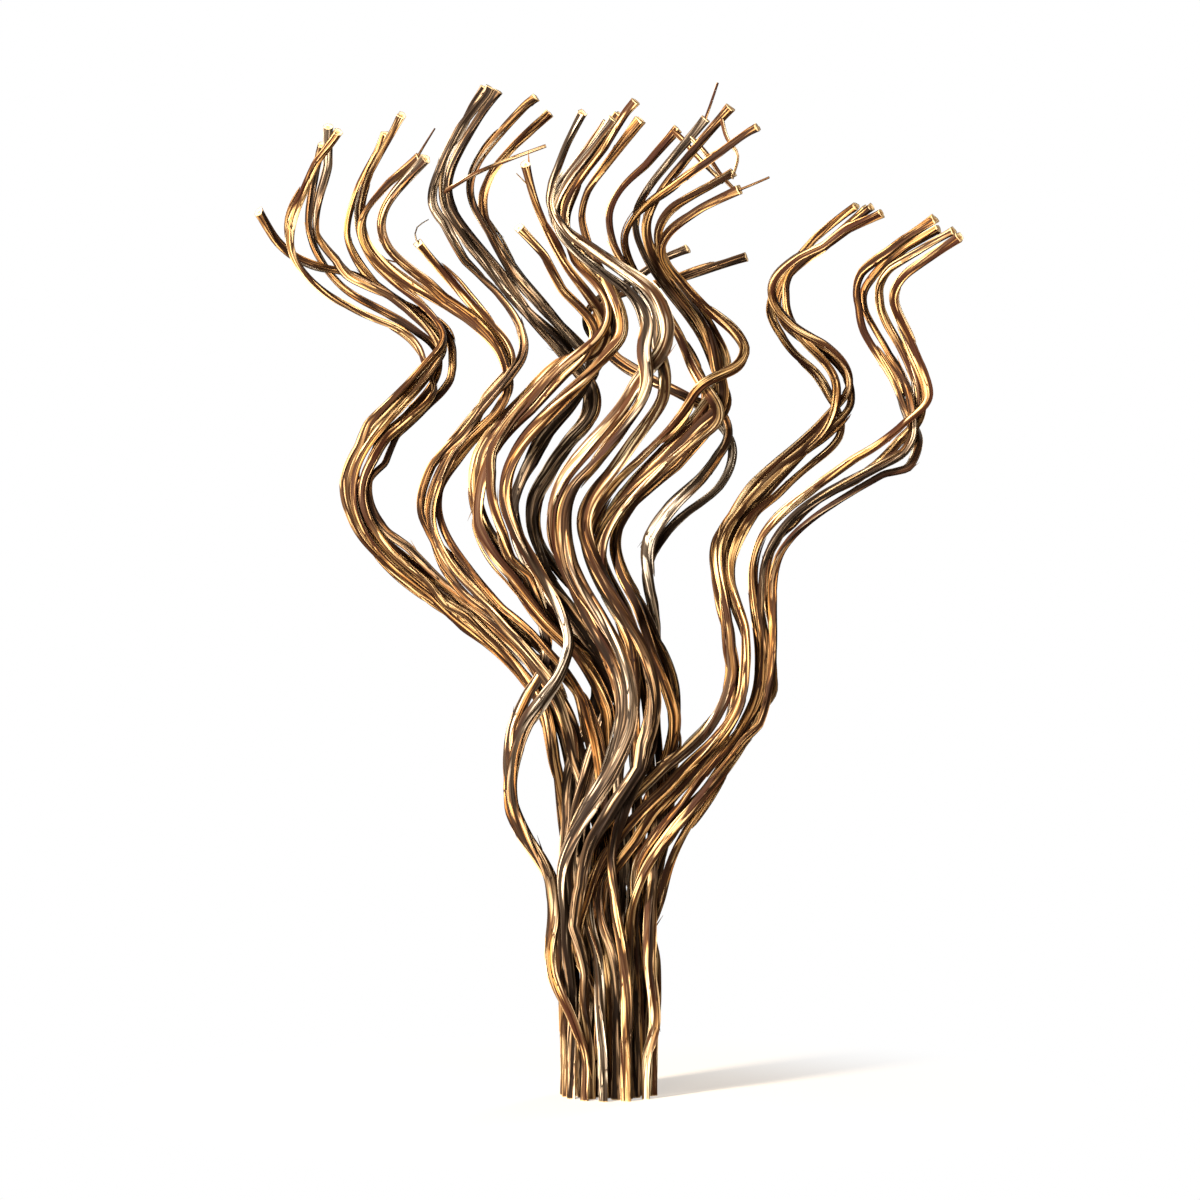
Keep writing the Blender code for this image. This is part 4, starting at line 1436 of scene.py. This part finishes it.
class StripSweep:
    """The Geometry Nodes tree that sweeps strips and shoots along their paths."""

    SIDES = 6

    def __init__(self) -> None:
        """Builds the tree."""
        inputs = {"Flatness": "NodeSocketFloat", "Material": "NodeSocketMaterial"}
        desk, given = start_tree("strip sweep", inputs)
        curve = desk.use("GeometryNodeMeshToCurve", {}, {"Mesh": desk.out(given, "Geometry")})
        facing = {"Curve": curve, "Normal": desk.stored("facing", "FLOAT_VECTOR")}
        faced = desk.use("GeometryNodeSetCurveNormal", {"mode": "FREE"}, facing)
        ring = {"Resolution": self.SIDES, "Radius": 1.0}
        circle = desk.use("GeometryNodeCurvePrimitiveCircle", {}, ring, "Curve")
        marked = self.store(desk, circle, "around", desk.position())
        size = desk.use("ShaderNodeCombineXYZ", {}, {0: 1.0, 1: desk.out(given, "Flatness"), 2: 1.0})
        flat = desk.use("GeometryNodeTransform", {}, {"Geometry": marked, "Scale": size})
        swept = desk.use(
            "GeometryNodeCurveToMesh",
            {},
            {"Curve": faced, "Profile Curve": flat, "Scale": desk.stored("thick"), "Fill Caps": True},
        )
        along, around = (desk.stored(name, "FLOAT_VECTOR") for name in ("along", "around"))
        grained = self.store(desk, swept, GRAIN.name, desk.vector("ADD", along, around))
        self.tree = end_tree(desk, grained, desk.out(given, "Material"))

    @staticmethod
    def store(desk: Desk, geometry: Wire, name: str, value: Wire) -> Wire:
        """Stores a vector on every point."""
        inputs = {"Geometry": geometry, "Name": name, "Value": value}
        settings = {"data_type": "FLOAT_VECTOR", "domain": "POINT"}
        return desk.use("GeometryNodeStoreNamedAttribute", settings, inputs)

    def sweep(
        self, name: str, fibres: Sequence[Fibre], flatness: float, bark: bpy.types.Material, seed: int
    ) -> bpy.types.Object:
        """Sweeps some strips as one piece.

        Args:
            name: The piece's name.
            fibres: The paths.
            flatness: How thick a strip is, against its width.
            bark: Its material.
            seed: Where its grain starts.

        Returns:
            The piece.
        """
        counts = [len(fibre.points) for fibre in fibres]
        first = np.concatenate([[0], np.cumsum(counts)[:-1]])
        edges = [(at + step, at + step + 1) for at, count in zip(first, counts) for step in range(count - 1)]
        mesh = bpy.data.meshes.new(name)
        mesh.from_pydata(np.concatenate([fibre.points for fibre in fibres]).tolist(), edges, [])
        chance = np.random.default_rng(seed)
        along = []
        for fibre in fibres:
            row = np.zeros((len(fibre.points), 3)) + chance.uniform(*GRAIN_START, 3)
            row[:, 2] += run_along(fibre.points) / Grain.RUN
            along.append(row)
        write_attribute(mesh, "along", "FLOAT_VECTOR", np.concatenate(along))
        write_attribute(mesh, "facing", "FLOAT_VECTOR", np.concatenate([fibre.facing for fibre in fibres]))
        write_attribute(mesh, "thick", "FLOAT", np.concatenate([fibre.radius for fibre in fibres]))
        for part in BARK_PARTS:
            colours = [np.tile(getattr(fibre.tone.value, part), (len(fibre.points), 1)) for fibre in fibres]
            write_attribute(mesh, part, "FLOAT_COLOR", np.concatenate(colours))
        piece = put_in_scene(name, mesh)
        run_tree(piece, self.tree, {"Flatness": flatness, "Material": bark})
        piece.data.shade_smooth()
        return piece


@dataclass
class Splinters:
    """The Geometry Nodes tree that scatters slivers of bark over the stems of a lock."""

    density: float = 1200.0  # slivers for each square metre
    lengths: tuple = (3 * MM, 10 * MM)
    widths: tuple = (0.8 * MM, 2.3 * MM)
    thickness: float = 0.45  # against the width
    sides: int = 5
    ends: tuple = (0.5, 0.08)  # radius at the root and at the point, in widths
    leans: tuple = (0.05, 0.3)  # how far a sliver stands off its stem
    stray: float = 0.15
    downwards: float = 0.35  # how many point towards the foot
    free_foot: float = 14 * MM  # height below which nothing grows
    sunk: float = 0.25 * MM

    HAIR = 0.01  # a small share, for tests that only tell yes from no

    INPUTS = {
        "Stems": "NodeSocketCollection",
        "Density": "NodeSocketFloat",
        "Least length": "NodeSocketFloat",
        "Greatest length": "NodeSocketFloat",
        "Seed": "NodeSocketInt",
        "Material": "NodeSocketMaterial",
    }

    def __post_init__(self) -> None:
        """Builds the tree."""
        desk, given = start_tree("splinters", self.INPUTS)
        stems, density, least, greatest, seed, material = (desk.out(given, name) for name in self.INPUTS)
        grown = desk.use("GeometryNodeCollectionInfo", {}, {"Collection": stems})
        real = desk.use("GeometryNodeRealizeInstances", {}, {"Geometry": grown})
        height = desk.use("ShaderNodeSeparateXYZ", {}, {0: desk.position()}, "Z")
        on_bark = desk.math("LESS_THAN", desk.stored("cap"), self.HAIR)
        on_bark = on_bark * desk.math("GREATER_THAN", height, self.free_foot)
        points = desk.add(
            "GeometryNodeDistributePointsOnFaces",
            {"distribute_method": "RANDOM"},
            {"Mesh": real, "Selection": on_bark, "Density": density, "Seed": seed},
        )
        normal = desk.out(points, "Normal")
        up_or_down = self.random(desk, 0.0, 1.0, seed + 1)
        end = desk.step(up_or_down, self.downwards, self.downwards + self.HAIR) * 2 - 1
        way = desk.scaled(desk.stored("heading", "FLOAT_VECTOR"), end)
        lean = desk.scaled(normal, self.random(desk, *self.leans, seed + 2))
        strays = {"Min": (-self.stray,) * 3, "Max": (self.stray,) * 3, "Seed": seed + 3}
        stray = desk.use("FunctionNodeRandomValue", {"data_type": "FLOAT_VECTOR"}, strays, "Value")
        way = desk.vector("ADD", desk.vector("ADD", way, lean), stray)
        kind = "FunctionNodeAlignRotationToVector"
        turned = desk.use(kind, {"axis": "Z"}, {"Vector": way})
        turned = desk.use(kind, {"axis": "Y", "pivot_axis": "Z"}, {"Rotation": turned, "Vector": normal})
        width = self.random(desk, *self.widths, seed + 4)
        length = self.random(desk, least, greatest, seed + 5)
        scale = desk.use("ShaderNodeCombineXYZ", {}, {0: width, 1: width * self.thickness, 2: length})
        root, tip = self.ends
        cone = {"Vertices": self.sides, "Radius Top": tip, "Radius Bottom": root, "Depth": 1.0}
        sliver = desk.use("GeometryNodeMeshCone", {"fill_type": "NGON"}, cone, "Mesh")
        roots = desk.moved(desk.out(points, "Points"), desk.scaled(normal, -self.sunk))
        each = {"Points": roots, "Instance": sliver, "Rotation": turned, "Scale": scale}
        self.tree = end_tree(desk, desk.use("GeometryNodeInstanceOnPoints", {}, each), material)

    @staticmethod
    def random(desk: Desk, low: Wire | float, high: Wire | float, seed: Wire) -> Wire:
        """Draws a number for each splinter."""
        inputs = {"Min_001": low, "Max_001": high, "Seed": seed}
        return desk.use("FunctionNodeRandomValue", {"data_type": "FLOAT"}, inputs, "Value_001")

    def scatter(
        self, name: str, stems: Sequence[bpy.types.Object], bark: bpy.types.Material, seed: int
    ) -> bpy.types.Object:
        """Scatters splinters over some stems, as one piece.

        Args:
            name: The piece's name.
            stems: The finished stems.
            bark: Its material.
            seed: What the chance starts from.

        Returns:
            The piece.
        """
        group = bpy.data.collections.new(name)
        for stem in stems:
            group.objects.link(stem)
        piece = put_in_scene(name, bpy.data.meshes.new(name))
        least, greatest = self.lengths
        sizes = {"Density": self.density, "Least length": least, "Greatest length": greatest}
        run_tree(piece, self.tree, sizes | {"Stems": group, "Seed": seed, "Material": bark})
        bpy.data.collections.remove(group)
        return piece


@dataclass
class Bunch:
    """All the stems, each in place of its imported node."""

    nodes: dict[str, bpy.types.Object]
    body: str = "root"
    sharp_from: float = math.radians(24)
    strip_flatness: float = 0.65
    shoot_flatness: float = 0.85

    SLOTS = ("golden_stem", "tan_stem", "brown_stem", "dark_stem", "grey_stem", "pale_stem")

    LOCKS = {
        "far_left": "brown_stem",
        "left": "brown_stem",
        "dark": "dark_stem",
        "inner_left": "golden_stem",
        "front_left": "golden_stem",
        "front": "grey_stem",
        "right_centre": "golden_stem",
        "grey_arch": "grey_stem",
        "back": "dark_stem",
        "inner_right": "golden_stem",
        "outer_right": "tan_stem",
    }

    def build(self) -> None:
        """Builds and dresses every stem, and then the strips, shoots and splinters of every lock."""
        carving, sweep, splinters = Carving(), StripSweep(), Splinters()
        cut_end = CutFinish().material()
        barks = {slot: BarkFinish(f"{slot}_bark").material() for slot in self.SLOTS}
        forms, pieces = {}, {}
        for count, (name, node) in enumerate(sorted(self.nodes.items())):
            slot = node.data.materials[0].name
            seed = SEED + STEM_SEEDS * count
            form = StemForm(StemRings.read(node), read_dress(DRESS[name]), seed, PEELED.get(name, 0))
            piece = put_in_scene(f"{name}_looks", form.core_mesh())
            carving.carve(piece, barks[slot], cut_end)
            piece.data.shade_smooth()
            piece.data.set_sharp_from_angle(angle=self.sharp_from)
            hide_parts(name)
            self.settle(piece, slot)
            forms[name], pieces[name] = form, piece

        for count, (lock, slot) in enumerate(self.LOCKS.items()):
            bark = barks[slot]
            members = [name for name in forms if name.rstrip("_0123456789") == f"stem_{lock}"]
            seeds = [SEED + LOCK_SEEDS * count + at for at in range(len(members))]
            strips = [path for seed, name in zip(seeds, members) for path in Peeling(seed).draw(forms[name])]
            strips += self.shoot_paths(FLAT_SHOOTS, members, forms)
            self.settle(sweep.sweep(f"{lock}_strips", strips, self.strip_flatness, bark, count), slot)
            shoots = self.shoot_paths(ROUND_SHOOTS, members, forms)
            if shoots:
                self.settle(sweep.sweep(f"{lock}_shoots", shoots, self.shoot_flatness, bark, count), slot)
            stems = [pieces[name] for name in members]
            self.settle(splinters.scatter(f"{lock}_splinters", stems, bark, count), slot)

    @staticmethod
    def shoot_paths(shoots: Sequence[Shoot], members: list[str], forms: dict[str, StemForm]) -> list[Fibre]:
        """Lays the paths of those shoots that grow on the stems of one lock."""
        return [Fibre.from_shoot(shoot, forms[shoot.stem]) for shoot in shoots if shoot.stem in members]

    def settle(self, piece: bpy.types.Object, slot: str) -> None:
        """Gives a piece its body, and reports it.

        Args:
            piece: The finished piece.
            slot: The slot; not used.
        """
        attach(piece, self.body)
        LOG.info("%s: %d faces", piece.name, len(piece.data.polygons))


@dataclass(frozen=True)
class Lamp:
    """A soft square light: where it hangs in metres, its side, its power in watts and its colour."""

    name: str
    place: tuple
    size: float
    power: float
    colour: Colour


LAMPS = (
    Lamp("key", (-2.0, -2.1, 1.2), 0.4, 390.0, linear("#FFF0E0")),
    Lamp("front", (-0.7, -2.5, 0.05), 0.8, 114.0, linear("#FFF0DE")),
    Lamp("fill", (2.4, -1.0, 0.8), 1.6, 16.0, linear("#FFE4C0")),
    Lamp("rim", (1.3, 1.9, 1.5), 0.8, 34.0, linear("#FFF0DE")),
)


@dataclass
class Studio:
    """A plain pale floor, soft light from the upper left and a camera at the photograph's angle."""

    camera_place: tuple = (-0.0053, -2.5, 0.350)
    camera_pitch_deg: float = 88.70
    camera_reach: float = 100.0
    frame_px: float = 1200.0
    focal_px: float = 4238.0
    sensor_mm: float = 36.0
    floor_half: float = 12.0
    floor_colour: Colour = linear("#F1E9DB")
    floor_roughness: float = 0.9
    floor_fade: tuple = (0.04, 0.3)  # how far from the bunch the floor starts and ends its fade to white
    floor_glow: float = 0.45  # how much of it glows even under the bunch, which softens the shadow
    background: Colour = linear("#FFFFFF")
    sky_light: Colour = linear("#FFDDB4")
    sky_share: float = 0.1  # how bright the background is as a light, against how it looks
    aim: tuple = (0, 0, 0.3)  # the middle of the bunch, which the lamps face

    def build(self) -> None:
        """Sets up the floor, the lamps, the sky and the camera."""
        self.add_floor()
        for lamp in LAMPS:
            self.add_lamp(lamp)
        self.add_sky()
        self.add_camera()

    def add_camera(self) -> None:
        """Puts the camera at the photograph's viewing angle."""
        data = bpy.data.cameras.new("camera")
        data.sensor_width = self.sensor_mm
        data.lens = self.focal_px / self.frame_px * self.sensor_mm
        data.clip_end = self.camera_reach
        camera = put_in_scene("camera", data)
        camera.location = self.camera_place
        camera.rotation_euler = (math.radians(self.camera_pitch_deg), 0, 0)
        bpy.context.scene.camera = camera

    def seen_glow(self, desk: Desk) -> tuple[Wire, Wire]:
        """Tells what the camera sees from what lights the bunch.

        Args:
            desk: The tree that it is made in.

        Returns:
            1 where the camera looks straight at a surface, and the background's strength there.
        """
        seen = desk.use("ShaderNodeLightPath", key="Is Camera Ray")
        return seen, seen * (1 - self.sky_share) + self.sky_share

    def add_floor(self) -> None:
        """Lays a wide pale floor that fades to the white of the background."""
        half = self.floor_half
        corners = [(-half, -half, 0), (half, -half, 0), (half, half, 0), (-half, half, 0)]
        mesh = bpy.data.meshes.new("floor")
        mesh.from_pydata(corners, [], [(0, 1, 2, 3)])
        floor = put_in_scene("floor", mesh)
        material, desk, shader = new_material("floor")
        desk.feed(shader, {"Base Color": self.floor_colour, "Roughness": self.floor_roughness})
        _, glow = self.seen_glow(desk)
        white = desk.use("ShaderNodeEmission", {}, {"Color": self.background, "Strength": glow})
        place = desk.use("ShaderNodeTexCoord", key="Object")
        far = desk.step(desk.vector("LENGTH", place), *self.floor_fade)
        share = far * (1 - self.floor_glow) + self.floor_glow
        both = desk.use("ShaderNodeMixShader", {}, {"Fac": share, 1: desk.out(shader), 2: white})
        desk.feed(material.node_tree.nodes["Material Output"], {"Surface": both})
        mesh.materials.append(material)

    def add_sky(self) -> None:
        """Makes the background white to the camera and a weak warm light to the bunch."""
        world = bpy.data.worlds.new("pale sky")
        world.use_nodes = True
        desk = Desk(world.node_tree)
        seen, glow = self.seen_glow(desk)
        colour = desk.mix(seen, self.sky_light, self.background)
        desk.feed(world.node_tree.nodes["Background"], {"Color": colour, "Strength": glow})
        bpy.context.scene.world = world
        bpy.context.scene.view_settings.view_transform = "Standard"

    def add_lamp(self, lamp: Lamp) -> None:
        """Hangs a lamp and turns it to the middle of the bunch.

        Args:
            lamp: The lamp.
        """
        data = bpy.data.lights.new(lamp.name, "AREA")
        data.size = lamp.size
        data.energy = lamp.power
        data.color = lamp.colour[:3]
        hung = put_in_scene(lamp.name, data)
        hung.location = lamp.place
        aim = Vector(self.aim) - Vector(lamp.place)
        hung.rotation_euler = aim.to_track_quat("-Z", "Y").to_euler()


def main() -> None:
    """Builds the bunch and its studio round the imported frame."""
    logging.basicConfig(level=logging.INFO, format="%(message)s")
    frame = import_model()
    Bunch(frame["nodes"]).build()
    Studio().build()
    bpy.context.view_layer.update()


if __name__ == "__main__":
    main()
